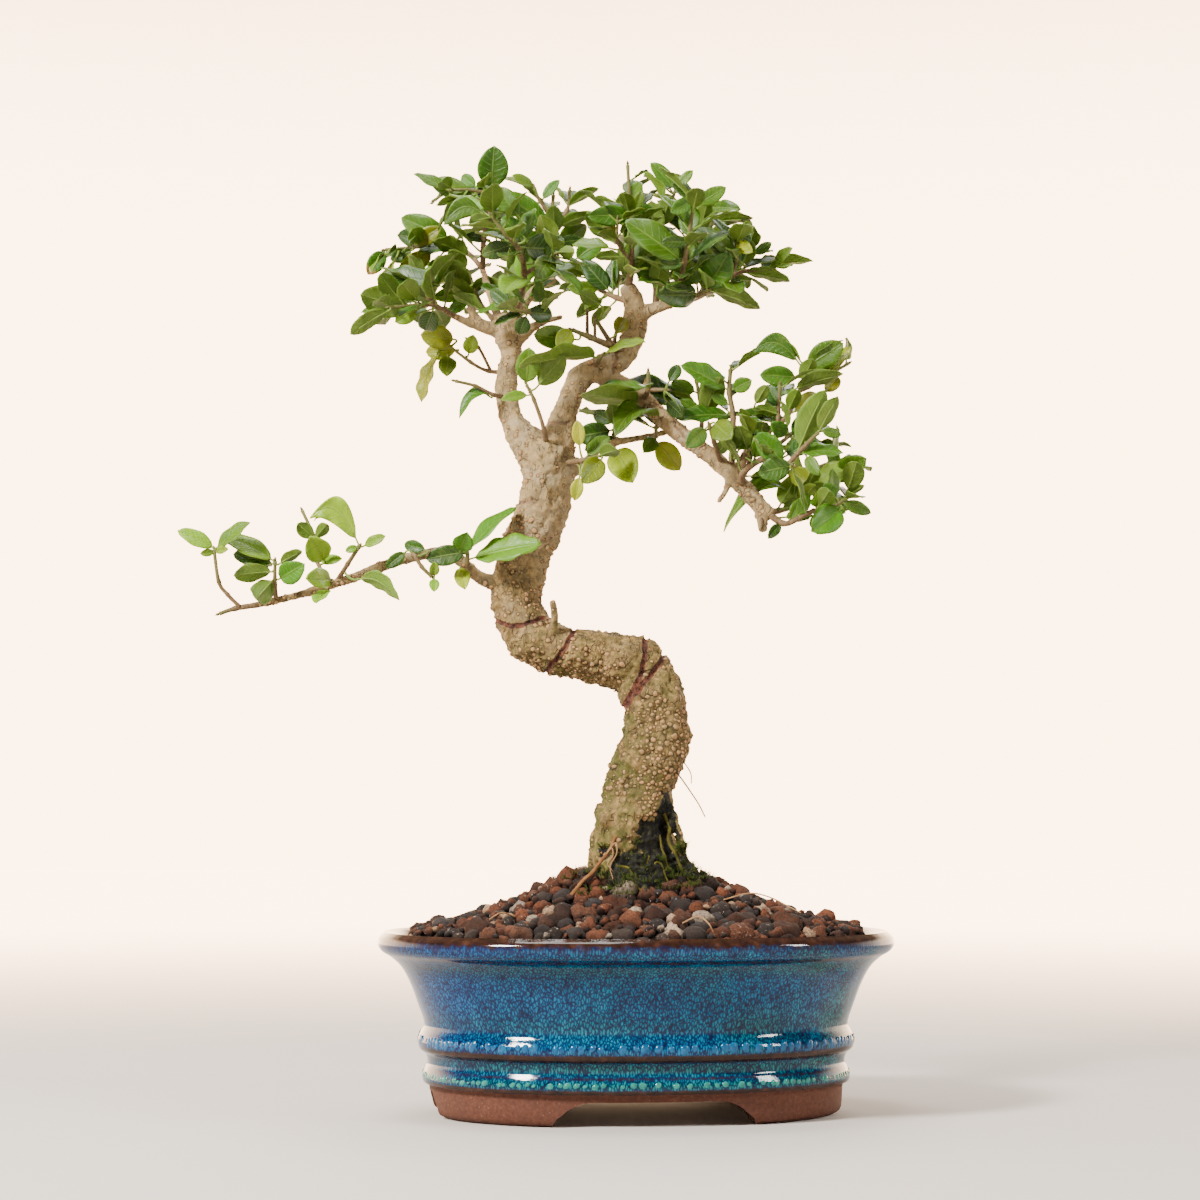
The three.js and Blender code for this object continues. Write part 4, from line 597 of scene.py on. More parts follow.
# Leaf pairs at nodes: the way between nodes, each pair's turn against the last, the first item number,
# the room they need, how often a place is tried, and the share of them that the pad has.
NODE_SPACING = 6.5
NODE_TURN = 1.57
NODE_ITEMS = 5000
NODE_ROOM = 1.25
NODE_TRIES = 8
PAD_SHARE = 0.5


def within(outline, u, v):
    """Whether a place seen from the front lies in an outline."""
    hit = False
    for (u0, v0), (u1, v1) in zip(outline, outline[1:] + outline[:1]):
        if (v0 > v) != (v1 > v) and u < u0 + (u1 - u0) * (v - v0) / (v1 - v0):
            hit = not hit
    return hit


def grow_at_nodes(sprays, wood, taken):
    """Fills the crown and the pad: pairs of leaves at the nodes of the twigs, each pair across the last."""
    segments = [segments_of(spray["stems"]) for spray in sprays]
    item = NODE_ITEMS
    for own, spray in enumerate(sprays):
        if not spray["name"].startswith(("top", "pad")):
            continue
        solids = np.vstack([wood] + segments[:own] + segments[own + 1:])
        for route in spray["stems"]:
            line = smooth_route([placed(*stop[:3]) for stop in route], 12)
            steps = np.linalg.norm(np.diff(line, axis=0), axis=1)
            travelled = np.concatenate([[0], np.cumsum(steps)])
            count = int((travelled[-1] - 4) / NODE_SPACING) + 1
            for node in range(count):
                index = int(np.searchsorted(travelled, travelled[-1] - node * NODE_SPACING - 0.5))
                index = min(max(index, 1), len(line) - 2)
                course = unit(line[index + 1] - line[index - 1])
                across = unit(np.cross(course, UP + np.array([0.1, 0.2, 0])))
                beside = np.cross(across, course)
                for way in (0, 1):
                    item += 1
                    if spray["name"].startswith("pad") and scatter(item, 110) > PAD_SHARE:
                        continue
                    start = way * math.pi + node * NODE_TURN
                    lie, samples = free_leaf(item, line[index], (course, across, beside), start, solids, taken)
                    if lie is not None:
                        taken.append(samples)
                        spray["lies"].append(lie)


def free_leaf(item, seat, axes, start, solids, taken):
    """A leaf at a node that has room and stays in the foliage's outline, or none."""
    course, across, beside = axes
    # The D tones here are painted shade inside the crown.
    tone = "DDMMMF"[int(scatter(item, 111) * 6)]
    for attempt in range(NODE_TRIES):
        turn = start + 0.7 * (scatter(item, 112 + attempt) - 0.5) + 0.5 * attempt
        out = across * math.cos(turn) + beside * math.sin(turn)
        aim = unit(out + course * (0.3 + 0.6 * scatter(item, 122)) + UP * 0.15)
        length = (11.5 + 8 * scatter(item, 123)) * (1 - 0.05 * attempt)
        stalk = 1.5 + 3.0 * scatter(item, 124 + attempt)
        base = seat + aim * stalk
        tip = base + aim * length - UP * (0.12 * length * scatter(item, 125))
        u, v = (float(value[0]) for value in seen(tip)[:2])
        if not (within(CROWN, u, v) or within(PAD, u, v)):
            continue
        face = unit(course * 0.7 + UP * 0.8)
        normal = unit(face - aim * (face @ aim) + 0.35 * (scatter(item, 126) - 0.5) * np.cross(aim, face))
        lie = Lie(item, tone, seat, base, tip, normal, length * (0.48 + 0.1 * scatter(item, 127)))
        samples = lie.samples()
        if room_of(samples, solids, taken) > NODE_ROOM:
            return lie, samples
    return None, None


def deepened(stems, factor):
    """Twigs with their depth beyond what carries them made larger, or turned to the far side."""
    carried = stems[0][0][2]
    return [[(u, v, carried + (depth - carried) * factor, radius) for u, v, depth, radius in route]
            for route in stems]


def make_spray(order, far):
    """One spray of the table, near or far, with its large and its small leaves apart."""
    name, stems, leaves = SPRAYS[order]
    first = order * ITEMS_PER_SPRAY + (FAR_ITEMS if far else 0)
    smallest = SMALLEST_FAR_LEAF if far else SMALLEST_LEAF
    spray = {
        "name": name + ("_far" if far else ""),
        "stems": deepened(stems, -FAR_DEPTH if far else NEAR_DEPTH),
        "face": -1 if far else 1,
        "shrink": FAR_SHRINK if far else 1,
        "lies": [],
    }
    rows = [(row, first + index) for index, row in enumerate(leaves)]
    large = [pair for pair in rows if math.hypot(pair[0][2] - pair[0][0], pair[0][3] - pair[0][1]) >= smallest]
    small = [pair for pair in rows if pair not in large]
    return spray, large, small


def make_sprays():
    """All sprays, their large leaves settled first, so that these lie as the solids do."""
    made = [make_spray(order, False) for order in range(len(SPRAYS))]
    made += [make_spray(order, True) for order, row in enumerate(SPRAYS) if row[0] in FAR_SPRAYS]
    sprays = [spray for spray, _, _ in made]
    wood = segments_of([TRUNK, *LEADERS, *BRANCHES, *STUBS])
    taken = []
    for pick in (1, 2):
        for group in made:
            group[0]["leaves"] = group[pick]
        settle(sprays, wood, taken)
    grow_at_nodes(sprays, wood, taken)
    return sprays


# Leaf colours by tone, above and below, as linear red, green and blue; the dark D tone is painted shade.
LEAF_TOP = {"D": (0.014, 0.046, 0.001), "M": (0.038, 0.098, 0.002), "F": (0.090, 0.168, 0.003),
            "P": (0.050, 0.108, 0.003), "Y": (0.170, 0.190, 0.004)}
LEAF_UNDER = (0.115, 0.160, 0.015)
LEAF_UNDER_SHARE = 0.6
# The leaves below this height, on the long branches, are paler than the crown's.
LOW_LEAF_TOP = 262
LOW_LEAF_LIGHT = 1.3
LEAF_BROWN = (0.22, 0.09, 0.02)
BROWN_TIPS = {(-99, 337, -106, 327)}
BLADE_START = 0.07
BLADE_HALF_THICKNESS = 0.17
BLADE_ACROSS = 8
BLADE_WIDER = 1.06
# Last number of a leaf point's "place": which side of the blade it is on. The first three are its share
# across and along, and the leaf's own number.
ABOVE, BELOW = 1, 0.5
STALK_STEPS = 4
RIB_STEPS = 7
RIB_END = 7.7
STALK_SIDES = 5


def fullness(share):
    """Half-width of a privet leaf along its length, widest a little before the middle."""
    return math.sin(math.pi * min(max(share, 0), 1) ** 0.94) ** 0.63 if 0 < share < 1 else 0.0


def leaf_colours(lie, item):
    """Colour above and below for one leaf, each a little its own."""
    shade = 0.62 + 0.76 * scatter(item, 11)
    shade *= LOW_LEAF_LIGHT if lie.seat[2] < LOW_LEAF_TOP else 1
    warm = 0.8 + 0.5 * scatter(item, 12)
    top = np.array(LEAF_TOP[lie.tone]) * shade * np.array([warm, 1, 0.8 + 0.5 * scatter(item, 13)])
    pale = np.array(LEAF_UNDER) * LEAF_UNDER_SHARE * (0.9 + 0.2 * scatter(item, 14))
    under = top * (1 - LEAF_UNDER_SHARE) + pale
    return top, under


def add_blade(shell, lie):
    """One leaf: a thin closed blade folded along its midrib, with a stalk that runs on below it."""
    item = lie.item
    rows = 6 + int(lie.length / 2.7)
    bend = 0.10 * (scatter(item, 21) - 0.35)
    twist = 0.5 * (scatter(item, 22) - 0.5)
    waves = 1.5 + 1.5 * scatter(item, 23)
    phase = 2 * math.pi * scatter(item, 24)
    wave_size = lie.width * (0.02 + 0.05 * scatter(item, 25))
    fold = 0.16 + 0.2 * scatter(item, 26)
    top, under = leaf_colours(lie, item)
    sheets = {1: [], -1: []}
    places, tints = [], {1: [], -1: []}
    for row in range(rows + 1):
        share = BLADE_START + (1 - BLADE_START) * row / rows
        inner = (share - BLADE_START) / (1 - BLADE_START)
        centre, course = lie.at(share)
        up = unit(np.cross(lie.side, course))
        turn = twist * (inner - 0.4)
        side = lie.side * math.cos(turn) + up * math.sin(turn)
        up = unit(np.cross(side, course))
        half = lie.width / 2 * BLADE_WIDER * max(fullness(inner), 0.02 if row == 0 else 0.004)
        centre = centre + up * (bend * lie.length * (inner - 0.45) * inner * 1.6)
        for column in range(BLADE_ACROSS + 1):
            across = 2 * column / BLADE_ACROSS - 1
            edge = abs(across)
            lift = half * (fold * edge + 0.10 * edge * edge - 0.16 * edge ** 3)
            beat = math.sin(2 * math.pi * waves * inner + phase + (0 if across > 0 else 1.9))
            lift += wave_size * beat * edge ** 2.2 * min(1, 3 * inner * (1.1 - inner) * 1.6)
            lift -= 0.12 * math.exp(-(across * half / 0.35) ** 2)
            point = centre + side * (half * across * math.cos(fold * 0.8)) + up * lift
            thin = BLADE_HALF_THICKNESS * (1 - 0.55 * edge ** 4)
            for way in (1, -1):
                sheets[way].append(point + up * (way * thin))
            places.append(((across + 1) / 2, inner, scatter(item, 27)))
            browned = max(0, min(1, (inner - 0.72) * 8)) if lie.brown else 0
            for way, colour in ((1, top), (-1, under)):
                tints[way].append(colour * (1 - browned) + np.array(LEAF_BROWN) * browned)
    wide = BLADE_ACROSS + 1
    count = len(sheets[1])
    faces = []
    for row in range(rows):
        for column in range(BLADE_ACROSS):
            a = row * wide + column
            faces.append((a, a + wide, a + wide + 1, a + 1))
            faces.append((a + count, a + 1 + count, a + wide + 1 + count, a + wide + count))
    left, right = range(0, count, wide), range(BLADE_ACROSS, count, wide)
    bottom, far = range(wide), range(count - wide, count)
    for chain, way in ((left, 1), (right, -1), (bottom, -1), (far, 1)):
        for a, b in zip(chain, chain[1:]):
            quad = (a, a + count, b + count, b)
            faces.append(quad if way == 1 else quad[::-1])
    tint = [(*colour, 1) for colour in tints[1] + tints[-1]]
    place = [(*row, side) for side in (ABOVE, BELOW) for row in places]
    shell.add(sheets[1] + sheets[-1], faces, tint=tint, place=place)
    add_stalk(shell, lie, under)


def add_stalk(shell, lie, under):
    """The leaf's stalk from the twig to the blade, running on as the rib below it."""
    base, course = lie.at(0)
    pull = base - course * max(lie.stalk * 0.5, 0.6)
    centres, radii = [], []
    for step in range(STALK_STEPS):
        share = step / STALK_STEPS
        centres.append(lie.seat * (1 - share) ** 2 + pull * 2 * share * (1 - share) + base * share ** 2)
        radii.append(0.52 - 0.12 * share)
    for step in range(RIB_STEPS):
        share = step / RIB_END
        point, along = lie.at(share)
        up = unit(np.cross(lie.side, along))
        centres.append(point - up * (0.02 + 0.22 * min(1, share * 6)))
        radii.append(0.40 - 0.30 * share)
    points, faces = tube(np.array(centres), radii, STALK_SIDES)
    count = len(points)
    shell.add(points, faces, tint=[(*(under * 1.15), 1)] * count, place=[(0.5, 0.5, 0.5, BELOW)] * count)


class Nodes:
    """Short calls that add nodes to one tree."""

    def __init__(self, tree):
        self.tree = tree

    def link(self, source, target):
        """A node's output is joined to an input, and a number or colour is set on it."""
        if isinstance(source, bpy.types.NodeSocket):
            self.tree.links.new(source, target)
        else:
            target.default_value = source

    def vector(self, operation, a, b=None, scale=None, output="Vector"):
        node = self.tree.nodes.new("ShaderNodeVectorMath")
        node.operation = operation
        self.link(a, node.inputs[0])
        if b is not None:
            self.link(b, node.inputs[1])
        if scale is not None:
            self.link(scale, node.inputs["Scale"])
        return node.outputs[output]

    def part(self, vector, channel):
        """One of a vector's three numbers."""
        node = self.tree.nodes.new("ShaderNodeSeparateXYZ")
        self.link(vector, node.inputs[0])
        return node.outputs[channel]

    def math(self, operation, a, b=0.0, c=None, clamp=False):
        node = self.tree.nodes.new("ShaderNodeMath")
        node.operation = operation
        node.use_clamp = clamp
        self.link(a, node.inputs[0])
        self.link(b, node.inputs[1])
        if c is not None:
            self.link(c, node.inputs[2])
        return node.outputs[0]

    def band(self, value, low, high, out_low=0.0, out_high=1.0):
        """Smooth step of a value from low to high."""
        node = self.tree.nodes.new("ShaderNodeMapRange")
        node.interpolation_type = "SMOOTHSTEP"
        self.link(value, node.inputs["Value"])
        ends = {"From Min": low, "From Max": high, "To Min": out_low, "To Max": out_high}
        for label, number in ends.items():
            node.inputs[label].default_value = number
        return node.outputs["Result"]

    def ramp(self, value, *stops):
        node = self.tree.nodes.new("ShaderNodeValToRGB")
        self.link(value, node.inputs["Fac"])
        ends = node.color_ramp.elements
        while len(ends) < len(stops):
            ends.new(0.5)
        for end, (at, colour) in zip(ends, stops):
            end.position = at
            end.color = (*colour, 1)
        return node.outputs["Color"]

    def mix(self, factor, a, b, blend="MIX"):
        node = self.tree.nodes.new("ShaderNodeMix")
        node.data_type = "RGBA"
        node.blend_type = blend
        self.link(factor, node.inputs[0])
        for value, socket in ((a, node.inputs[6]), (b, node.inputs[7])):
            self.link((*value, 1) if isinstance(value, tuple) else value, socket)
        return node.outputs[2]


class Paint(Nodes):
    """One procedural material: the object's own coordinates in millimetres and its point attributes."""

    def __init__(self, name, **fixed):
        self.material = bpy.data.materials.new(name)
        self.material.use_nodes = True
        super().__init__(self.material.node_tree)
        self.shader = self.tree.nodes["Principled BSDF"]
        for label, value in fixed.items():
            self.shader.inputs[label.replace("_", " ")].default_value = value
        place = self.tree.nodes.new("ShaderNodeTexCoord").outputs["Object"]
        self.mm = self.vector("SCALE", place, scale=1000)

    def noise(self, size, detail=3.0, roughness=0.55, stretch=None, offset=None):
        """Noise with features of that many millimetres."""
        node = self.tree.nodes.new("ShaderNodeTexNoise")
        self.link(self.warped(size, stretch, offset), node.inputs["Vector"])
        node.inputs["Scale"].default_value = 1
        node.inputs["Detail"].default_value = detail
        node.inputs["Roughness"].default_value = roughness
        return node.outputs["Fac"]

    def cells(self, size, feature="F1", stretch=None, offset=None):
        """Cells of that many millimetres."""
        node = self.tree.nodes.new("ShaderNodeTexVoronoi")
        node.feature = feature
        self.link(self.warped(size, stretch, offset), node.inputs["Vector"])
        node.inputs["Scale"].default_value = 1
        return node.outputs["Distance"]

    def warped(self, size, stretch, offset):
        stretch = stretch or (1, 1, 1)
        place = self.vector("MULTIPLY", self.mm, tuple(1 / (size * part) for part in stretch))
        return self.vector("ADD", place, offset) if offset is not None else place

    def wobble(self, size, amount):
        """A vector that wanders by that amount, for bending another pattern."""
        node = self.tree.nodes.new("ShaderNodeTexNoise")
        self.link(self.warped(size, None, None), node.inputs["Vector"])
        node.inputs["Scale"].default_value = 1
        node.inputs["Detail"].default_value = 2
        middle = self.vector("SUBTRACT", node.outputs["Color"], (0.5, 0.5, 0.5))
        return self.vector("SCALE", middle, scale=amount)

    def coat(self, colour, share, amount, other, blend="MIX"):
        """A colour with some of another over it, where a pattern has a share from 0 to 1."""
        return self.mix(self.math("MULTIPLY", share, amount), colour, other, blend)

    def attribute(self, name, channel=None):
        node = self.tree.nodes.new("ShaderNodeAttribute")
        node.attribute_name = name
        if channel is None:
            return node.outputs["Color"]
        if channel == 3:
            return node.outputs["Alpha"]
        parts = self.tree.nodes.new("ShaderNodeSeparateColor")
        self.link(node.outputs["Color"], parts.inputs[0])
        return parts.outputs[channel]

    def axis(self, channel):
        return self.part(self.mm, channel)

    def bump(self, height, depth, normal=None):
        """Relief of that many millimetres."""
        node = self.tree.nodes.new("ShaderNodeBump")
        node.inputs["Strength"].default_value = 1
        node.inputs["Distance"].default_value = depth * MM
        self.link(height, node.inputs["Height"])
        if normal is not None:
            self.link(normal, node.inputs["Normal"])
        return node.outputs["Normal"]

    def finish(self, colour, normal=None, roughness=None):
        self.link((*colour, 1) if isinstance(colour, tuple) else colour, self.shader.inputs["Base Color"])
        if normal is not None:
            self.link(normal, self.shader.inputs["Normal"])
        if roughness is not None:
            self.link(roughness, self.shader.inputs["Roughness"])
        return self.material


def leaf_paint():
    paint = Paint("leaf", Roughness=0.42, Specular_IOR_Level=0.26, Subsurface_Weight=0.25,
                  Subsurface_Scale=0.0010, Subsurface_Radius=(0.7, 1.0, 0.25))
    across = paint.math("MULTIPLY_ADD", paint.attribute("place", 0), 2.0, -1.0)
    along = paint.attribute("place", 1)
    own = paint.attribute("place", 2)
    above = paint.band(paint.attribute("place", 3), 0.6, 0.9)
    edge = paint.math("ABSOLUTE", across)
    rib = paint.band(edge, 0.015, 0.09, 1.0, 0.0)
    course = paint.math("SUBTRACT", paint.math("MULTIPLY", along, 7.5), paint.math("MULTIPLY", edge, 1.5))
    shaken = paint.math("ADD", course, paint.math("MULTIPLY", paint.noise(2.4, 2), 0.45))
    course = paint.math("ADD", shaken, own)
    near = paint.math("ABSOLUTE", paint.math("SUBTRACT", paint.math("FRACT", course), 0.5))
    vein = paint.math("MULTIPLY", paint.band(near, 0.02, 0.13, 1.0, 0.0), paint.band(edge, 0.75, 0.98, 1.0, 0.0))
    net = paint.band(paint.cells(0.75, "DISTANCE_TO_EDGE"), 0.0, 0.16, 1.0, 0.0)
    lines = paint.math("MAXIMUM", rib, paint.math("MULTIPLY", vein, 0.45))
    colour = paint.attribute("tint")
    mottle = paint.band(paint.noise(4.5, 4, 0.6), 0.3, 0.7)
    colour = paint.coat(colour, mottle, 0.55, (0.58, 0.74, 0.6), "MULTIPLY")
    patch = paint.band(paint.noise(9, 2, offset=(3, 7, 1)), 0.52, 0.75)
    colour = paint.coat(colour, patch, 0.18, (0.16, 0.20, 0.02))
    colour = paint.coat(colour, net, 0.07, (0.16, 0.24, 0.05))
    colour = paint.coat(colour, lines, 0.34, (0.19, 0.27, 0.05))
    margin = paint.band(edge, 0.93, 1.0)
    colour = paint.coat(colour, margin, 0.25, (0.17, 0.22, 0.04))
    fleck = paint.band(paint.cells(5.5, offset=(9, 2, 4)), 0.05, 0.10, 1.0, 0.0)
    colour = paint.coat(colour, fleck, 0.35, (0.10, 0.09, 0.03))
    relief = paint.math("SUBTRACT", paint.math("MULTIPLY", mottle, 0.35), paint.math("ADD", lines, paint.math(
        "MULTIPLY", net, 0.12)))
    normal = paint.bump(relief, 0.16)
    gloss = paint.math("SUBTRACT", 0.58, paint.math("MULTIPLY", above, 0.24))
    gloss = paint.math("ADD", gloss, paint.math("MULTIPLY", mottle, 0.08))
    return paint.finish(colour, normal, gloss)


def twig_paint():
    paint = Paint("twig", Roughness=0.75, Specular_IOR_Level=0.3)
    grain = paint.noise(1.2, 4, 0.6, stretch=(1, 1, 3))
    colour = paint.ramp(grain, (0.25, (0.060, 0.032, 0.013)), (0.55, (0.135, 0.085, 0.036)),
                        (0.8, (0.22, 0.155, 0.075)))
    colour = paint.coat(colour, paint.attribute("tint", 1), 0.75, (0.085, 0.105, 0.018))
    spots = paint.band(paint.cells(1.5), 0.10, 0.26, 1.0, 0.0)
    colour = paint.coat(colour, spots, 0.5, (0.28, 0.20, 0.12))
    relief = paint.math("ADD", grain, spots)
    return paint.finish(colour, paint.bump(relief, 0.15))


def bark_paint():
    paint = Paint("bark", Roughness=0.8, Specular_IOR_Level=0.32)
    mark = [paint.attribute("mark", channel) for channel in range(3)]
    broad = paint.noise(17, 3, 0.55)
    fine = paint.noise(2.4, 6, 0.62)
    colour = paint.ramp(fine, (0.32, (0.050, 0.029, 0.009)), (0.5, (0.160, 0.105, 0.034)),
                        (0.68, (0.420, 0.262, 0.090)))
    colour = paint.coat(colour, paint.band(broad, 0.4, 0.65), 0.42, (0.330, 0.215, 0.078))
    grey = paint.band(paint.noise(11, 3, offset=(5, 1, 8)), 0.45, 0.7)
    up_high = paint.math("MULTIPLY", paint.band(paint.axis(2), 150, 260), 0.75)
    colour = paint.coat(colour, grey, up_high, (0.27, 0.225, 0.155))
    # Algae from the mark's green channel, partly real algae and partly painted shade on faces turned down and on one
    # side.
    algae_noise = paint.band(paint.noise(7, 4, 0.62, offset=(2, 2, 2)), 0.34, 0.62)
    algae_and_shade = paint.math("MULTIPLY", mark[1], algae_noise)
    colour = paint.coat(colour, algae_and_shade, 0.9, (0.062, 0.068, 0.005))
    stain = paint.band(paint.noise(13, 4, 0.6, offset=(9, 4, 6)), 0.35, 0.65)
    colour = paint.coat(colour, stain, 0.55, (0.55, 0.47, 0.38), "MULTIPLY")
    smudge = paint.band(paint.noise(4.5, 4, 0.6, offset=(2, 7, 3)), 0.45, 0.68)
    colour = paint.coat(colour, smudge, 0.5, (0.55, 0.50, 0.42), "MULTIPLY")
    # Painted shade: the creases of the bark are darkened, and they are also sunk by the relief below.
    shaded_crease = paint.band(paint.cells(2.6, "DISTANCE_TO_EDGE", stretch=(1, 1, 1.7)), 0.0, 0.10, 1.0, 0.0)
    shaded_crease = paint.math("MULTIPLY", shaded_crease, paint.band(paint.noise(5, 2, offset=(7, 7, 7)), 0.45, 0.65))
    colour = paint.coat(colour, shaded_crease, 0.4, (0.035, 0.022, 0.010))
    speckle = paint.band(paint.cells(1.6, offset=(4, 4, 9)), 0.14, 0.30, 1.0, 0.0)
    speckle = paint.math("MULTIPLY", speckle, paint.band(paint.noise(6, 2, offset=(1, 8, 3)), 0.42, 0.6))
    colour = paint.coat(colour, speckle, 0.55, (0.38, 0.265, 0.155))
    scar = paint.band(paint.math("ADD", mark[0], paint.math("MULTIPLY_ADD", fine, 0.7, -0.35)), 0.34, 0.56)
    colour = paint.mix(scar, colour, paint.ramp(fine, (0.42, (0.034, 0.010, 0.005)), (0.6, (0.120, 0.036, 0.016))))
    colour = paint.coat(colour, paint.band(paint.axis(2), 195, 225), 0.33, (0.39, 0.290, 0.150))
    # Painted contact shadow: a dark, frayed ring round each corky spot.
    shadow_ring_fray = paint.math("MULTIPLY_ADD", fine, 0.5, -0.25)
    ring = paint.band(paint.math("ADD", paint.attribute("mark", 3), shadow_ring_fray), 0.2, 0.75)
    colour = paint.coat(colour, ring, 0.62, (0.032, 0.022, 0.008))
    # Painted shade with some moss: where marked, the bark turns near black in the hollows and at the foot, with patches
    # of dark moss green.
    ragged = paint.math("MULTIPLY_ADD", paint.noise(4.5, 6, 0.7, offset=(6, 3, 1)), 2.2, -1.1)
    hollow_shade_and_moss = paint.band(paint.math("ADD", mark[2], ragged), 0.34, 0.58)
    mossy = paint.ramp(paint.noise(1.9, 6, 0.7), (0.46, (0.003, 0.003, 0.002)), (0.58, (0.013, 0.012, 0.004)),
                       (0.70, (0.060, 0.066, 0.008)))
    colour = paint.mix(hollow_shade_and_moss, colour, mossy)
    relief = paint.math("ADD", fine, paint.math("SUBTRACT", paint.math("MULTIPLY", speckle, 0.8),
                                                paint.math("MULTIPLY", shaded_crease, 0.9)))
    normal = paint.bump(relief, 0.7)
    normal = paint.bump(paint.noise(0.8, 4, 0.6), 0.2, normal)
    return paint.finish(colour, normal)


def lenticel_paint():
    paint = Paint("lenticel", Roughness=0.85, Specular_IOR_Level=0.25)
    grain = paint.noise(0.6, 3)
    colour = paint.ramp(grain, (0.3, (0.230, 0.118, 0.048)), (0.7, (0.430, 0.240, 0.106)))
    patch = paint.band(paint.noise(6, 2), 0.4, 0.65)
    colour = paint.coat(colour, patch, 0.6, (0.190, 0.140, 0.052))
    return paint.finish(colour, paint.bump(grain, 0.1))


def glaze_paint():
    paint = Paint("glaze", Specular_IOR_Level=0.3, IOR=1.45)
    lip = paint.attribute("zone", 0)
    teal = paint.attribute("zone", 1)
    bare = paint.attribute("zone", 2)
    fleck = paint.cells(0.92, "DISTANCE_TO_EDGE", stretch=(1, 1, 3.3), offset=paint.wobble(2.6, 0.8))
    small = paint.cells(0.5, "F1", stretch=(1, 1, 3.0), offset=paint.wobble(1.6, 0.6))
    streak = paint.noise(6, 4, 0.55, stretch=(1, 1, 1.6))
    broad = paint.noise(30, 2, 0.5, offset=(4, 2, 0))
    light = paint.math("MULTIPLY", paint.band(fleck, 0.0, 0.26), 0.54)
    light = paint.math("MULTIPLY_ADD", small, -0.26, paint.math("ADD", light, 0.28))
    light = paint.math("ADD", light, paint.math("MULTIPLY_ADD", streak, 0.62, -0.33))
    blue = paint.ramp(light, (0.08, (0.004, 0.007, 0.032)), (0.32, (0.002, 0.021, 0.074)),
                      (0.56, (0.002, 0.067, 0.155)), (0.80, (0.004, 0.135, 0.250)), (1.0, (0.035, 0.25, 0.37)))
    green = paint.ramp(light, (0.08, (0.005, 0.008, 0.024)), (0.32, (0.002, 0.032, 0.050)),
                       (0.56, (0.003, 0.084, 0.096)), (0.80, (0.012, 0.158, 0.138)), (1.0, (0.050, 0.26, 0.20)))
    right = paint.band(paint.axis(0), 40, 130)
    mixed = paint.math("ADD", teal, paint.math("MULTIPLY", paint.band(broad, 0.42, 0.62), paint.math(
        "MULTIPLY_ADD", right, 0.6, 0.16)), clamp=True)
    colour = paint.mix(mixed, blue, green)
    # Darker and bluer towards the left end: partly the glaze's own blue, partly painted shade against the key light on
    # that side.
    colour = paint.mix(paint.band(paint.axis(0), -55, 30, 0.75, 0.0), colour, (0.20, 0.52, 0.86), "MULTIPLY")
    edge_noise = paint.math("MULTIPLY_ADD", paint.noise(3.0, 4, 0.6, stretch=(1, 1, 0.5)), 0.9, -0.45)
    broken = paint.band(paint.math("ADD", lip, edge_noise), 0.38, 0.72)
    brown = paint.ramp(paint.noise(4, 4), (0.3, (0.010, 0.005, 0.004)), (0.55, (0.026, 0.011, 0.007)),
                       (0.8, (0.060, 0.024, 0.014)))
    halo = paint.band(paint.math("ADD", lip, edge_noise), 0.12, 0.5)
    colour = paint.coat(colour, halo, 0.65, (0.012, 0.007, 0.030))
    colour = paint.mix(broken, colour, brown)
    clay_grain = paint.noise(1.3, 5, 0.65)
    clay = paint.ramp(clay_grain, (0.25, (0.052, 0.017, 0.009)), (0.55, (0.092, 0.032, 0.018)),
                      (0.8, (0.140, 0.056, 0.034)))
    stain = paint.band(paint.noise(14, 3, offset=(3, 3, 3)), 0.4, 0.7)
    clay = paint.coat(clay, stain, 0.4, (0.066, 0.026, 0.017))
    grit = paint.band(paint.cells(2.2, offset=(2, 5, 5)), 0.05, 0.13, 1.0, 0.0)
    clay = paint.coat(clay, grit, 0.6, (0.24, 0.14, 0.10))
    wavy = paint.math("MULTIPLY_ADD", paint.noise(9, 2, offset=(8, 1, 2)), 0.8, -0.4)
    raw = paint.band(paint.math("ADD", bare, wavy), 0.44, 0.56)
    colour = paint.mix(raw, colour, clay)
    gloss = paint.math("MULTIPLY_ADD", paint.noise(1.6, 3), 0.06, 0.02)
    roughness = paint.math("MULTIPLY_ADD", raw, 0.72, gloss, clamp=True)
    relief = paint.math("MULTIPLY_ADD", paint.math("MULTIPLY", light, paint.math("SUBTRACT", 1.0, raw)), 0.08,
                        paint.math("MULTIPLY", clay_grain, raw))
    normal = paint.bump(relief, 0.10)
    normal = paint.bump(paint.noise(13, 2), 0.22, normal)
    return paint.finish(colour, normal, roughness)


def drop_paint(name, low, high):
    paint = Paint(name, Roughness=0.12, Specular_IOR_Level=0.3)
    shade = paint.noise(2.0, 3)
    return paint.finish(paint.ramp(shade, (0.3, low), (0.7, high)), paint.bump(paint.noise(1.2, 2), 0.06))


def grain_paint():
    paint = Paint("grain", Roughness=0.92, Specular_IOR_Level=0.25)
    colour = paint.attribute("tint")
    speck = paint.attribute("tint", 3)
    fine = paint.noise(0.9, 5, 0.65)
    colour = paint.mix(paint.band(fine, 0.35, 0.65), colour, paint.mix(0.6, colour, (0.016, 0.008, 0.006)))
    pits = paint.band(paint.cells(0.8), 0.10, 0.32, 1.0, 0.0)
    colour = paint.coat(colour, pits, 0.6, (0.018, 0.010, 0.008))
    dust = paint.band(paint.noise(1.1, 4, 0.7, offset=(5, 5, 5)), 0.60, 0.70)
    colour = paint.mix(paint.math("MULTIPLY", dust, speck), colour, (0.40, 0.33, 0.27))
    relief = paint.math("SUBTRACT", fine, pits)
    return paint.finish(colour, paint.bump(relief, 0.4))


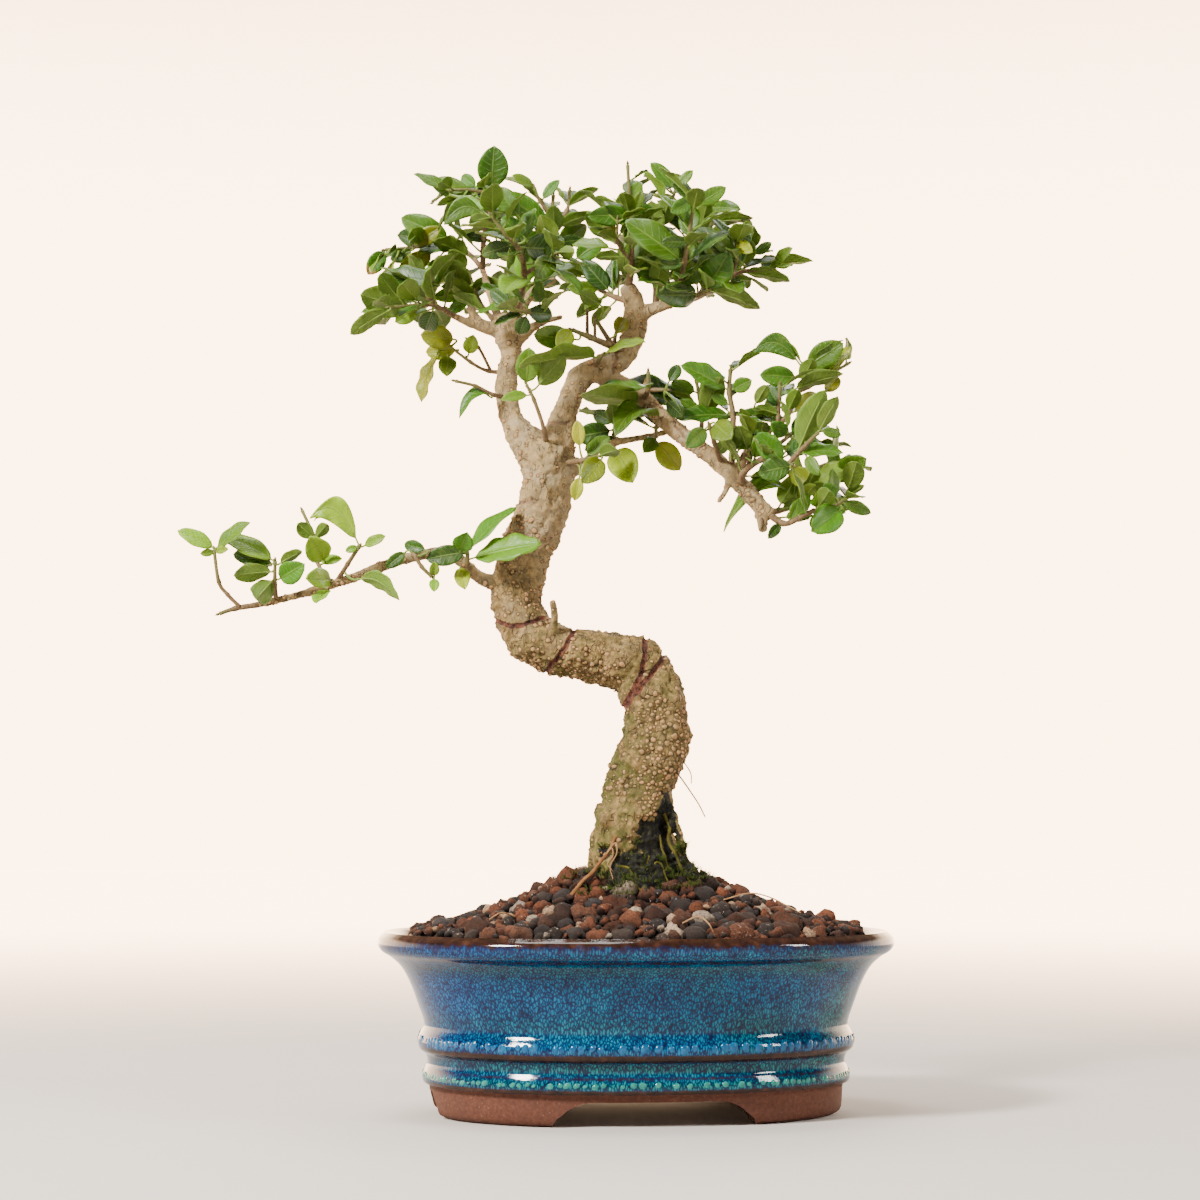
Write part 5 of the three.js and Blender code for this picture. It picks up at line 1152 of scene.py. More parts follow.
def plain_paint(name, low, high, size):
    """A dull material of two colours in patches of one size, for soil, moss and roots."""
    paint = Paint(name, Roughness=0.9, Specular_IOR_Level=0.25)
    patch = paint.noise(size, 4, 0.6)
    fine = paint.noise(size / 4, 3)
    return paint.finish(paint.ramp(patch, (0.3, low), (0.7, high)), paint.bump(fine, 0.3))


def oval(half, angle, share=1.0):
    """Point at an angle on the pot's oval with that half-length, or a share of the way out to it."""
    cosine, sine = math.cos(angle), math.sin(angle)
    power = 2 / OVAL_POWER
    return (share * half * math.copysign(abs(cosine) ** power, cosine),
            share * (half - NARROWER) * math.copysign(abs(sine) ** power, sine))


# Bands round the pot where the glaze breaks brown and where it turns teal: amount, height and width.
LIP_BANDS = [(1, 70.0, 5.0), (0.66, 60.4, 0.6), (1.1, 24.9, 1.5), (0.55, 17.8, 0.7), (1, 12.6, 1.0)]
TEAL_BANDS = [(0.5, 57.5, 2.2), (0.35, 36, 4.0), (0.9, 15.0, 2.4), (0.85, 21, 2.6)]
SOIL_HIDES = 52


def pot_zone(height, inside):
    """How much of the glaze breaks brown, turns teal and gives way to bare clay at a profile point."""
    def near(middle, wide):
        return math.exp(-((height - middle) / wide) ** 2)
    if inside:
        return 0.9 * near(68.2, 2.2), 0.3, 1.0 if height < SOIL_HIDES else 0.0
    lip = max(amount * near(middle, wide) for amount, middle, wide in LIP_BANDS)
    teal = max(amount * near(middle, wide) for amount, middle, wide in TEAL_BANDS)
    return lip, teal, 1.0 if height < FOOT_TOP else 0.0


def cut_gap(half, top_half):
    """Outline of a foot gap across and up: a cloud-shaped opening under the pot's body."""
    h = FOOT_GAP_HEIGHT
    right = [
        (half, -2), (half, 0), (half * 0.985, 1.6), (half * 0.95, 3.2), (half * 0.90, 4.6),
        (top_half + (half - top_half) * 0.42, 6.0), (top_half + (half - top_half) * 0.2, 7.2),
        (top_half, h - 1.2), (top_half * 0.94, h - 0.45), (top_half * 0.86, h - 0.1), (top_half * 0.75, h),
        (top_half * 0.25, h),
    ]
    return right + [(-x, z) for x, z in reversed(right)]


CUTTER_REACH = 130


def gap_cutter(outline, along_y):
    """Prism of a foot gap, right through the pot from front to back or from end to end."""
    points = []
    for depth in (-CUTTER_REACH, CUTTER_REACH):
        for x, z in outline:
            points.append(np.array([x, depth, z]) if along_y else np.array([depth, x, z]))
    count = len(outline)
    faces = [tuple(range(count)), tuple(range(2 * count - 1, count - 1, -1))]
    faces += [(a, a + count, (a + 1) % count + count, (a + 1) % count) for a in range(count)]
    shell = Shell()
    shell.add([point + POT_MIDDLE for point in points], faces)
    return faced_outward(shell.build("cutter"))


def faced_outward(piece):
    """The piece with all its faces turned outward."""
    work = bmesh.new()
    work.from_mesh(piece.data)
    bmesh.ops.recalc_face_normals(work, faces=work.faces)
    work.to_mesh(piece.data)
    work.free()
    return piece


def settled(piece):
    """The piece's mesh with its modifiers worked in, and the modifiers gone."""
    graph = bpy.context.evaluated_depsgraph_get()
    mesh = bpy.data.meshes.new_from_object(piece.evaluated_get(graph))
    piece.modifiers.clear()
    old = piece.data
    piece.data = mesh
    bpy.data.meshes.remove(old)
    return piece


def make_pot(paint):
    outer = smooth_route(POT_OUTSIDE, CORNER_STEPS)
    inner = smooth_route(POT_INSIDE, CORNER_STEPS)
    under = np.array(POT_UNDER, dtype=float)
    shell = Shell()
    points, zones = [], []
    for part, profile in enumerate((outer, inner, under)):
        for reach, height in profile:
            zone = pot_zone(height, part == 1) if part < 2 else (0, 0, 1)
            for angle in angles(POT_SIDES):
                x, y = oval(reach, angle)
                points.append(np.array([x, y, height]) + POT_MIDDLE)
                zones.append((*zone, 1))
    rings = len(outer) + len(inner) + len(under)
    floor_ring = len(outer) + len(inner) - 1
    faces = ring_faces(rings, POT_SIDES)
    last = (rings - 1) * POT_SIDES
    floor_top = range(floor_ring * POT_SIDES, (floor_ring + 1) * POT_SIDES)
    floor_under = range((floor_ring + 1) * POT_SIDES, (floor_ring + 2) * POT_SIDES)
    faces = [face for face in faces if not (face[0] in floor_top and face[2] in floor_under)]
    for side in range(POT_SIDES):
        after = (side + 1) % POT_SIDES
        faces.append((last + side, last + after, after, side))
    faces += [tuple(floor_top), tuple(reversed(floor_under))]
    shell.add(points, faces, zone=zones)
    pot = faced_outward(shell.build("glazed_pot", paint))
    cutters = [gap_cutter(cut_gap(*FRONT_GAP), True), gap_cutter(cut_gap(*END_GAP), False)]
    drains = Shell()
    for across in (-DRAIN_ACROSS, DRAIN_ACROSS):
        line = np.array([[across, 0, z] for z in (4, 9, 12, 20)]) + POT_MIDDLE
        drains.add(*tube(line, [DRAIN_RADIUS] * 4, 40))
    cutters.append(drains.build("cutter_drains"))
    for cutter in cutters:
        cut = pot.modifiers.new("cut", "BOOLEAN")
        cut.object = cutter
        cut.operation = "DIFFERENCE"
        cut.solver = "EXACT"
    settled(pot)
    for cutter in cutters:
        bpy.data.objects.remove(cutter)
    pot.data.set_sharp_from_angle(angle=math.radians(38))
    return carry(pot, "glaze", "pot")


DROP_STEP = math.pi * 2 * 0.01
DROP_SIDES = 10


def make_drops(name, paint, height, reach, spacing, wide, tall, proud):
    """A row of thick glaze drops round the pot."""
    shell = Shell()
    count = int(2 * math.pi * reach * 0.9 / spacing)
    for drop in range(count):
        angle = 2 * math.pi * (drop + 0.5 * (scatter(drop, 31) - 0.5)) / count
        if scatter(drop, 32) < 0.07:
            continue
        before, here, after = (
            np.array([*oval(reach, angle + step), 0.0]) for step in (-DROP_STEP, 0, DROP_STEP))
        beside = unit(after - before)
        out = np.cross(beside, UP)
        middle = here + POT_MIDDLE + UP * (height + 0.7 * (scatter(drop, 33) - 0.5))
        size = 0.7 + 0.6 * scatter(drop, 34)
        slant = 0.5 * (scatter(drop, 35) - 0.3)
        points = [middle + out * proud * size]
        faces = []
        for share in (0.45, 0.8, 1.0):
            lift = proud * size * math.sqrt(max(0, 1 - share ** 2)) - (0.12 if share == 1 else 0)
            for turn in angles(DROP_SIDES):
                up = math.sin(turn) * tall / 2 * size * share
                points.append(middle + out * lift + UP * up + beside * (
                    math.cos(turn) * wide / 2 * size * share + slant * up))
        for side in range(DROP_SIDES):
            a, b = 1 + side, 1 + (side + 1) % DROP_SIDES
            faces.append((0, a, b))
            for step in (0, DROP_SIDES):
                faces.append((a + step, a + step + DROP_SIDES, b + step + DROP_SIDES, b + step))
        shell.add(points, faces)
    return carry(shell.build(name, paint), "glaze")


FRONT_DIP = 5.5


def mound(x, y):
    """Height of the soil at a place measured from the pot's middle, and its share of the way out."""
    share = ((abs(x) / SOIL_RIM_HALF) ** OVAL_POWER
             + (abs(y) / (SOIL_RIM_HALF - NARROWER)) ** OVAL_POWER) ** (1 / OVAL_POWER)
    shares, heights = zip(*SOIL_PROFILE)
    dip = FRONT_DIP * math.exp(-((x - 2) / 24) ** 2 - ((y + 22) / 14) ** 2)
    return float(np.interp(share, shares, heights)) + 1.6 * x / SOIL_RIM_HALF * (1 - min(share, 1)) - dip, share


SOIL_FOOT_HALF, SOIL_FOOT_HEIGHT = 68.5, 14.9


def make_soil_bed(paint):
    """The ground below the loose grains, down to the pot's floor, near black as painted shade in the gaps between
    grains.
    """
    rings, sides = 46, 120
    points = []
    for ring in range(rings):
        share = 1 - ring / rings
        for angle in angles(sides):
            x, y = oval(SOIL_RIM_HALF, angle, share)
            height = mound(x, y)[0] - 1.4 + (0 if ring == 0 else 1.2 * noise.noise(Vector((x, y, 3)) * 0.35))
            points.append(np.array([x, y, height]) + POT_MIDDLE)
    points.append(np.array([0, 0, mound(0, 0)[0] - 1.4]) + POT_MIDDLE)
    faces = ring_faces(rings, sides)
    last = (rings - 1) * sides
    faces += fan_faces(rings * sides, last, sides)
    foot = len(points)
    for angle in angles(sides):
        points.append(np.array([*oval(SOIL_FOOT_HALF, angle), SOIL_FOOT_HEIGHT]) + POT_MIDDLE)
    faces += [(foot + side, foot + (side + 1) % sides, (side + 1) % sides, side) for side in range(sides)]
    faces.append(tuple(range(foot + sides - 1, foot - 1, -1)))
    shell = Shell()
    shell.add(points, faces)
    return carry(shell.build("soil_bed", paint), "soil", "soil")


def stone_shapes(subdivisions, count, seed, rough):
    """Some stones of unit size, each a ball pushed about by noise."""
    work = bmesh.new()
    bmesh.ops.create_icosphere(work, subdivisions=subdivisions, radius=1)
    ball = np.array([vertex.co[:] for vertex in work.verts])
    faces = [tuple(vertex.index for vertex in face.verts) for face in work.faces]
    work.free()
    shapes = []
    for item in range(count):
        shift = Vector((item * 7.3 + seed, seed * 2.1, item * 3.9))
        push = np.array([
            1 + rough * 1.5 * noise.noise(Vector(point) * 0.9 + shift) + rough * noise.noise(Vector(point) * 2.3 + shift)
            for point in ball])
        shape = ball * push[:, None]
        flat = [0.78 + 0.44 * scatter(item + seed, use) for use in (41, 42, 43)]
        shapes.append(shape * np.array(flat))
    return shapes, faces


def turned(item):
    """A turn in space from a grain's number."""
    a, b, c = (2 * math.pi * scatter(item, use) for use in (51, 52, 53))
    rz = np.array([[math.cos(a), -math.sin(a), 0], [math.sin(a), math.cos(a), 0], [0, 0, 1]])
    ry = np.array([[math.cos(b), 0, math.sin(b)], [0, 1, 0], [-math.sin(b), 0, math.cos(b)]])
    rx = np.array([[1, 0, 0], [0, math.cos(c), -math.sin(c)], [0, math.sin(c), math.cos(c)]])
    return rz @ ry @ rx


# Grains: name, linear colour, spread of it, share of all, how rough, chance of pale dust.
GRAINS = [
    ("grains_red", (0.061, 0.0196, 0.0079), 0.8, 0.58, 0.34, 0.10),
    ("grains_dark", (0.0185, 0.0135, 0.0110), 0.6, 0.33, 0.14, 0.40),
    ("grains_pale", (0.24, 0.160, 0.100), 0.4, 0.09, 0.30, 0.55),
]
GRAIN_SIZES = [(5.0, 85), (4.2, 230), (3.5, 400), (2.7, 330), (2.0, 260), (1.4, 380)]
LARGE_GRAIN = 3.0
TRUNK_CLEAR = 15.5


def place_grains():
    """Grains thrown one by one, the largest first, where they have room; each is place, radius, kind."""
    placed_grains = []
    buckets = {}
    item = 0
    kinds = np.cumsum([row[3] for row in GRAINS])
    for size, wanted in GRAIN_SIZES:
        done = 0
        for _ in range(wanted * 9):
            item += 1
            if done >= wanted:
                break
            radius = size * (0.82 + 0.36 * scatter(item, 61))
            angle = 2 * math.pi * scatter(item, 62)
            share = math.sqrt(scatter(item, 63))
            x, y = oval(SOIL_RIM_HALF - radius * 0.75, angle, share)
            close = TRUNK_CLEAR - radius * 0.2
            if math.hypot(x - 1, y) < close:
                continue
            height = mound(x, y)[0] + 2.0 + 2.6 * (scatter(item, 64) - 0.5) - 0.80 * radius
            here = np.array([x, y, height])
            cell = (int(x // 10), int(y // 10))
            rivals = [other for i in (-1, 0, 1) for j in (-1, 0, 1)
                      for other in buckets.get((cell[0] + i, cell[1] + j), [])]
            if any(np.linalg.norm(here - place) < 0.80 * (radius + reach) for place, reach in rivals):
                continue
            buckets.setdefault(cell, []).append((here, radius))
            kind = int(np.searchsorted(kinds, scatter(item, 65) * kinds[-1]))
            placed_grains.append((here, radius, kind, item))
            done += 1
    return placed_grains


def make_grains(paint):
    grains = place_grains()
    for kind, (name, colour, spread, _, rough, dusty) in enumerate(GRAINS):
        large, large_faces = stone_shapes(3, 22, kind * 10 + 1, rough)
        small, small_faces = stone_shapes(2, 22, kind * 10 + 5, rough)
        shell = Shell()
        for here, radius, own_kind, item in grains:
            if own_kind != kind:
                continue
            shapes, faces = (large, large_faces) if radius > LARGE_GRAIN else (small, small_faces)
            shape = shapes[int(scatter(item, 71) * len(shapes)) % len(shapes)] * radius
            points = shape @ turned(item).T + here + POT_MIDDLE
            shade = 1 + spread * 2 * (scatter(item, 72) - 0.5)
            warm = 1 + 0.35 * (scatter(item, 73) - 0.5)
            dust = 0.9 if scatter(item, 74) < dusty else 0.05
            tint = (colour[0] * shade * warm, colour[1] * shade, colour[2] * shade / warm, dust)
            # Painted shade: each grain is darker towards its underside, where it sits among the others.
            sunk = np.clip(0.46 + 1.00 * (points[:, 2] - here[2] - POT_MIDDLE[2]) / radius, 0.04, 1.3)
            shell.add(list(points), faces, tint=[(*(part * low for part in tint[:3]), dust) for low in sunk])
        carry(shell.build(name, paint), "soil")


# Red-brown rings left by training wire: ends across and height as seen from the front, half-width and bow.
SCARS = [
    (-56, 189.6, -36.5, 190.8, 1.0, -2.2), (-22.0, 189.6, -35, 169.5, 1.05, 0.6), (4.2, 184, -5.5, 153.5, 1.1, 2.2),
    (12.0, 178.5, -5.5, 155, 1.15, 1.0), (-51.5, 222.5, -42, 223.6, 0.9, -0.8), (-46, 236.5, -40, 237.6, 0.8, -0.5),
    (-7.5, 296, -9, 288, 0.7, 0.3), (20, 262, 15, 268, 0.6, 0.3), (-33.5, 268, -26, 268.4, 0.6, -0.4),
]
WOOD_VOXEL = 0.00069
WOOD_SMOOTHINGS = 3
# Hollows at the foot, sunk into the bark and painted near black as shade with some moss: middle across and height,
# half-width, half-height and depth.
HOLLOWS = [((12.5, 114), 4.5, 9, 1.4), ((9, 105), 8.5, 8.5, 2.4), ((6, 92), 18, 10, 1.0)]


def wood_lines():
    """Centre points of all limbs with their radius, in millimetres; the thin root is a piece of its own."""
    return [route_line(route, 8) for route in [TRUNK, *LEADERS, *BRANCHES, *STUBS, ROOTS[0]]]


def limb_shape(order):
    """How far each limb swells and pinches round its girth."""
    def squeeze(index, angle):
        wave = 0.035 * math.sin(2 * angle + order * 1.7 + index * 0.11)
        wave += 0.03 * math.sin(3 * angle - index * 0.07 + order)
        place = Vector((math.cos(angle) * 1.3, math.sin(angle) * 1.3, index * 0.12 + order))
        return 1 + wave + 0.05 * noise.noise(place)
    return squeeze


def scar_share(u, v):
    """How much a place seen from the front lies in a wire scar."""
    most = np.zeros(len(u))
    for u0, v0, u1, v1, half, bow in SCARS:
        reach = math.hypot(u1 - u0, v1 - v0)
        ahead = ((u1 - u0) / reach, (v1 - v0) / reach)
        along = (u - u0) * ahead[0] + (v - v0) * ahead[1]
        held = np.clip(along / reach, 0, 1)
        bend = bow * (1 - (2 * held - 1) ** 2) + 0.3 * np.sin(held * 9 + u0) + 0.15 * np.sin(held * 27 + v0)
        beside = (v - v0) * ahead[0] - (u - u0) * ahead[1] - bend
        away = np.hypot(beside, along - held * reach)
        most = np.maximum(most, np.exp(-(away / half) ** 4))
    return most


def make_wood(paint):
    lines = wood_lines()
    shell = Shell()
    for order, line in enumerate(lines):
        radii = np.maximum(line[:, 3], 0.9)
        sides = 32 if order == 0 else 20
        shell.add(*tube(line[:, :3], radii, sides, limb_shape(order)))
    wood = shell.build("trunk_and_branches", paint)
    remesh = wood.modifiers.new("join", "REMESH")
    remesh.mode = "VOXEL"
    remesh.voxel_size = WOOD_VOXEL
    smooth = wood.modifiers.new("smooth", "SMOOTH")
    smooth.iterations = WOOD_SMOOTHINGS
    smooth.factor = 0.5
    settled(wood)
    mesh = wood.data
    count = len(mesh.vertices)
    points, normals = mesh_rows(mesh.vertices, "co") / MM, mesh_rows(mesh.vertices, "normal")
    tree, centres = limb_tree(lines)
    push, crumbs, torn = np.zeros(count), np.zeros(count), np.zeros(count)
    for index, point in enumerate(points):
        radius, along, spin = limb_place(tree, centres, point)
        thick = min(1.0, radius / 9)
        low_down = min(1.0, max(0.0, (165 - point[2]) / 40))
        here = Vector(point)
        lump = noise.noise(here / 9.0) * 1.25 + noise.noise(here / 4.2 + Vector((5, 5, 5))) * 0.85
        plate = noise.noise(Vector((math.cos(spin) * radius / 2.2, math.sin(spin) * radius / 2.2, along / 4.5)))
        ring = noise.noise(Vector((math.cos(spin) * 0.8, math.sin(spin) * 0.8, along / 1.5)))
        ridge = abs(noise.noise(here / 2.3 + Vector((1, 9, 4))))
        fold = noise.noise(Vector((math.cos(spin) * radius / 3.4, math.sin(spin) * radius / 3.4, along / 11 + 7)))
        push[index] = thick * (lump + (0.4 + 1.3 * low_down) * fold + 0.70 * plate + 0.50 * ring - 1.0 * ridge + 0.25)
        push[index] += thick * 0.34 * noise.noise(here / 1.7)
        push[index] += (1 - thick) * 0.16 * noise.noise(here / 2.0)
        crumbs[index] = noise.noise(here / 1.5 + Vector((3, 3, 3))) - 0.7 * abs(noise.noise(here / 2.6))
        torn[index] = noise.noise(here / 4.5 + Vector((2, 7, 1))) + 0.5 * noise.noise(here / 1.9)
    u, v, depth = seen(points)
    scar = scar_share(u, v)
    groove = np.interp(scar, [0, 0.25, 0.6, 1], [0, 0.40, 0.1, -0.7])
    dark, sunk = np.zeros(count), np.zeros(count)
    for (u0, v0), wide, tall, deep in HOLLOWS:
        away = (((u - u0) / wide) ** 2 + ((v - v0) / tall) ** 2) * np.exp(1.1 * torn)
        share = np.exp(-away ** 2) * np.clip((6 - depth) / 8, 0, 1)
        dark = np.maximum(dark, share)
        sunk += share * deep
    points += normals * (push + groove - sunk + 0.8 * dark * crumbs)[:, None]
    mesh.vertices.foreach_set("co", (points * MM).astype(np.float32).ravel())
    low = np.clip((205 - v) / 60, 0, 1)
    # The algae's green mark is partly painted shade: heavier on faces turned down, lighter on the viewer's right side
    # below height 160 and heavier there above it.
    rightward = normals[:, 0] * math.cos(TREE_TURN) + normals[:, 1] * math.sin(TREE_TURN)
    green = 0.22 + 0.5 * low - 0.3 * normals[:, 2] + 0.35 * np.exp(-((v - 95) / 14) ** 2)
    green += rightward * np.where(v < 160, -0.4, 0.25)
    green = np.clip(green, 0, 1)
    green = np.where(v > 200, np.clip(0.28 - (v - 200) / 500, 0, 1), green)
    # Painted shade with some moss: the hollows, and the foot near the soil on the right side, are marked to turn near
    # black.
    foot = np.clip((97 - v) / 12, 0, 1) * 0.75
    hollow_shade_and_moss = np.clip(dark * 1.1 + foot * np.clip((u + 14) / 12, 0, 1), 0, 1)
    mark = np.stack([np.clip(scar * 1.1, 0, 1), green, hollow_shade_and_moss, np.zeros(count)], axis=1)
    add_colours(mesh, "mark", mark)
    mesh.polygons.foreach_set("use_smooth", [True] * len(mesh.polygons))
    mesh.update()
    return carry(wood, "bark", "wood")


def limb_tree(lines):
    """A search tree over the centre points of all limbs, and a table of what each point is."""
    rows = []
    for line in lines:
        travelled = 0.0
        for index in range(len(line)):
            ahead = line[min(index + 1, len(line) - 1), :3] - line[max(index - 1, 0), :3]
            if index:
                travelled += np.linalg.norm(line[index, :3] - line[index - 1, :3])
            course = unit(ahead)
            across = unit(np.array([0.3, 1.0, 0.2]) - course * (np.array([0.3, 1.0, 0.2]) @ course))
            rows.append((line[index, :3], line[index, 3], travelled, course, across, np.cross(course, across)))
    return search_tree([row[0] for row in rows]), rows


def limb_place(tree, rows, point):
    """The limb radius, distance along it and turn round it at a point."""
    best = None
    for _, index, distance in tree.find_n(point, 4):
        own = distance - rows[index][1]
        if best is None or own < best[0]:
            best = (own, index)
    centre, radius, travelled, course, across, beside = rows[best[1]]
    offset = point - centre
    return radius, travelled + offset @ course, math.atan2(offset @ beside, offset @ across)


def make_lenticels(wood, paint):
    """Small raised corky spots over the bark, thickest on the lower trunk and under the bend."""
    mesh = wood.data
    centres, normals = mesh_rows(mesh.polygons, "center") / MM, mesh_rows(mesh.polygons, "normal")
    count = len(mesh.polygons)
    areas = np.empty(count, dtype=np.float32)
    mesh.polygons.foreach_get("area", areas)
    u, v, depth = seen(centres)
    patch = np.array([noise.noise(Vector(centre) / 11.0) for centre in centres])
    want = np.interp(v, [92, 104, 125, 160, 185, 215, 250, 300], [0.10, 0.18, 0.24, 0.22, 0.22, 0.36, 0.32, 0.26])
    want *= np.clip(0.5 + 3.0 * patch, 0.02, 2.2)
    packed = np.where((v > 148) & (v < 205), 2.4 * np.clip(-normals[:, 2] - 0.15, 0, 1), 0)
    packed += np.where((v > 104) & (v < 160), 1.6 * np.clip((u - 1) / 9, 0, 1), 0)
    want += packed * np.clip(0.75 + 2.0 * patch, 0.1, 1.5)
    dark = np.max([((u - u0) / wide) ** 2 + ((v - v0) / tall) ** 2 < 1.1 for (u0, v0), wide, tall, _ in HOLLOWS], axis=0)
    bare = (dark.astype(bool) & (depth < 3)) | (v < 92) | (scar_share(u, v) > 0.2)
    want *= np.where(bare, 0, 1) * areas * 1e6 * 0.34
    shell = Shell()
    buckets = {}
    sides = 8
    for index in range(count):
        if scatter(index, 81) > want[index]:
            continue
        size = (0.46 + 0.66 * scatter(index, 82) ** 1.7) * (1 + 0.10 * min(packed[index], 1.5))
        centre, normal = centres[index], normals[index]
        cell = tuple((centre // 3).astype(int))
        rivals = [other for i in (-1, 0, 1) for j in (-1, 0, 1) for k in (-1, 0, 1)
                  for other in buckets.get((cell[0] + i, cell[1] + j, cell[2] + k), [])]
        if any(np.linalg.norm(centre - place) < 1.02 * (size + reach) for place, reach in rivals):
            continue
        buckets.setdefault(cell, []).append((centre, size))
        beside = unit(np.cross(normal, UP + np.array([0.3 * scatter(index, 83), 0.2, 0])))
        upward = np.cross(beside, normal)
        squash = 0.72 + 0.4 * scatter(index, 84)
        points = [centre + normal * size * 0.36]
        for ring, (share, lift) in enumerate(((0.55, 0.33), (0.88, 0.18), (1.04, -0.35))):
            for side in range(sides):
                turn = 2 * math.pi * side / sides
                rough = 1 + 0.42 * (scatter(index * 8 + side, 85) - 0.5)
                points.append(centre + normal * size * lift + (
                    beside * math.cos(turn) + upward * math.sin(turn) * squash) * size * share * rough)
        faces = [(0, 1 + (side + 1) % sides, 1 + side) for side in range(sides)]
        faces += ring_faces(3, sides, 1)
        shell.add(points, faces)
    paint_shadow_rings(wood, [row for cell in buckets.values() for row in cell])
    return carry(shell.build("lenticels", paint), "bark")


def paint_shadow_rings(wood, spots):
    """Painted contact shadow: the bark is marked dark in a thin ring round each corky spot."""
    tree = search_tree([centre for centre, _ in spots])
    layer = wood.data.attributes["mark"].data
    for index, vertex in enumerate(wood.data.vertices):
        place = vertex.co / MM
        _, found, distance = tree.find(place)
        size = spots[found][1]
        layer[index].color[3] = min(1.0, max(0.0, 1.9 - distance / size))


def add_twig(shell, route, item):
    """One twig: a smooth thin tube with a few swollen nodes and a bud at its end."""
    line = route_line(route, 6)
    radii = []
    for index, radius in enumerate(line[:, 3]):
        swell = 0.22 if index % 6 == 0 and index else 0.0
        radii.append(max(radius * (0.92 + 0.1 * scatter(item + index, 91)), 0.42) + swell)
    points, faces = tube(line[:, :3], radii, 8)
    last = len(line) - 1
    young = [min(1.0, max(0.0, (index / last - 0.45) * 1.8)) for index in range(len(line)) for _ in range(8)]
    tint = [(0, share, 0, 1) for share in young] + [(0, 0, 0, 1), (0, 1, 0, 1)]
    shell.add(points, faces, 1, tint=tint, place=[(0, 0, 0, 1)] * len(points))
    along = unit(line[-1, :3] - line[-2, :3])
    add_bud(shell, line[-1, :3] + along * 0.2, along, 0.85)


def add_bud(shell, place, along, size):
    """A small pointed bud."""
    steps = [(0.0, 0.6), (0.5, 0.95), (1.1, 0.85), (1.7, 0.45), (2.1, 0.12)]
    centres = np.array([place + along * reach * size for reach, _ in steps])
    points, faces = tube(centres, [wide * size * 0.75 for _, wide in steps], 5)
    tint = [(0, 0.55, 0, 1)] * len(points)
    shell.add(points, faces, 1, tint=tint, place=[(0, 0, 0, 1)] * len(points))


def make_spray_pieces(leaf, twig):
    for order, spray in enumerate(make_sprays()):
        shell = Shell()
        for number, route in enumerate(spray["stems"]):
            add_twig(shell, route, order * 100 + number * 20)
        for lie in spray["lies"]:
            add_blade(shell, lie)
            _, course = lie.at(0)
            if lie.stalk < 6:
                way = unit(course + 0.6 * UP)
                add_bud(shell, lie.seat + way * 0.5, way, 0.42)
        carry(shell.build("leaves_" + spray["name"], leaf, twig), "leaf", "spray_" + spray["name"])


# Bare twigs and cut stubs that carry no leaf: routes of across, height, depth and radius.
BARE_TWIGS = [
    [[-19, 303, 0, 0.8], [-19, 308, -1, 0.7], [-19, 313, -1, 0.6]],
    [[-16, 302, 0, 0.7], [-16, 307, 1, 0.6], [-16, 311, 1, 0.5]],
    [[-9, 293, 0, 0.9], [-8, 302, -2, 0.8], [-6, 309, -3, 0.6]],
    [[49, 234, -15, 0.9], [49.5, 229, -18, 0.8], [49, 225.5, -19, 0.7]],
    [[51, 233, -15, 0.9], [51, 230, -12, 0.8], [51.5, 227.5, -11, 0.7]],
]
THREADS = [
    [[14, 132, -9, 0.36], [17, 129, -11, 0.34], [21.5, 122.6, -12, 0.30], [24.5, 118, -12, 0.28], [27, 113, -12, 0.24]],
    [[16, 138, -7, 0.28], [19, 134, -10, 0.26], [21.4, 130, -11, 0.24], [21.6, 126, -11, 0.20]],
]
THIN_ROOT = [
    [-4.5, 112, -13, 0.45], [-7.0, 107.5, -15.5, 0.62], [-8.8, 103.5, -17, 0.60], [-10.6, 99.5, -18, 0.70],
    [-14.0, 95.5, -19, 0.62], [-17.0, 91.5, -20, 0.80], [-20.8, 88.2, -21, 0.68], [-24, 84, -22.5, 0.85],
    [-26.6, 81, -24, 0.75], [-29, 76, -26, 0.6],
]
STRAWS = [
    [[34, 81, -30, 0.3], [44, 83.5, -34, 0.3], [52, 82, -38, 0.28], [60, 78, -42, 0.25], [64, 76, -44, 0.2]],
    [[18, 72, -58, 0.3], [24, 74.5, -60, 0.32], [28, 72, -62, 0.3], [30, 68.5, -62, 0.24]],
    [[-12.5, 97, -18, 0.3], [-9.5, 101, -19.5, 0.28], [-9, 98, -20, 0.26], [-11, 95, -20, 0.24], [-9, 92, -19.5, 0.2]],
    [[-11.5, 99, -18, 0.28], [-8, 103, -20, 0.26], [-7.5, 99, -20.5, 0.24], [-10, 94, -20.5, 0.22], [-9, 89, -20, 0.2]],
    [[-25, 80, -24, 0.45], [-25.5, 76, -26, 0.4], [-25, 71, -28, 0.3]],
    [[-46, 74, -36, 0.3], [-52, 76, -40, 0.28], [-57, 73.5, -42, 0.22]],
    [[10, 82, 30, 0.3], [20, 84, 36, 0.3], [30, 80, 42, 0.25]],
]


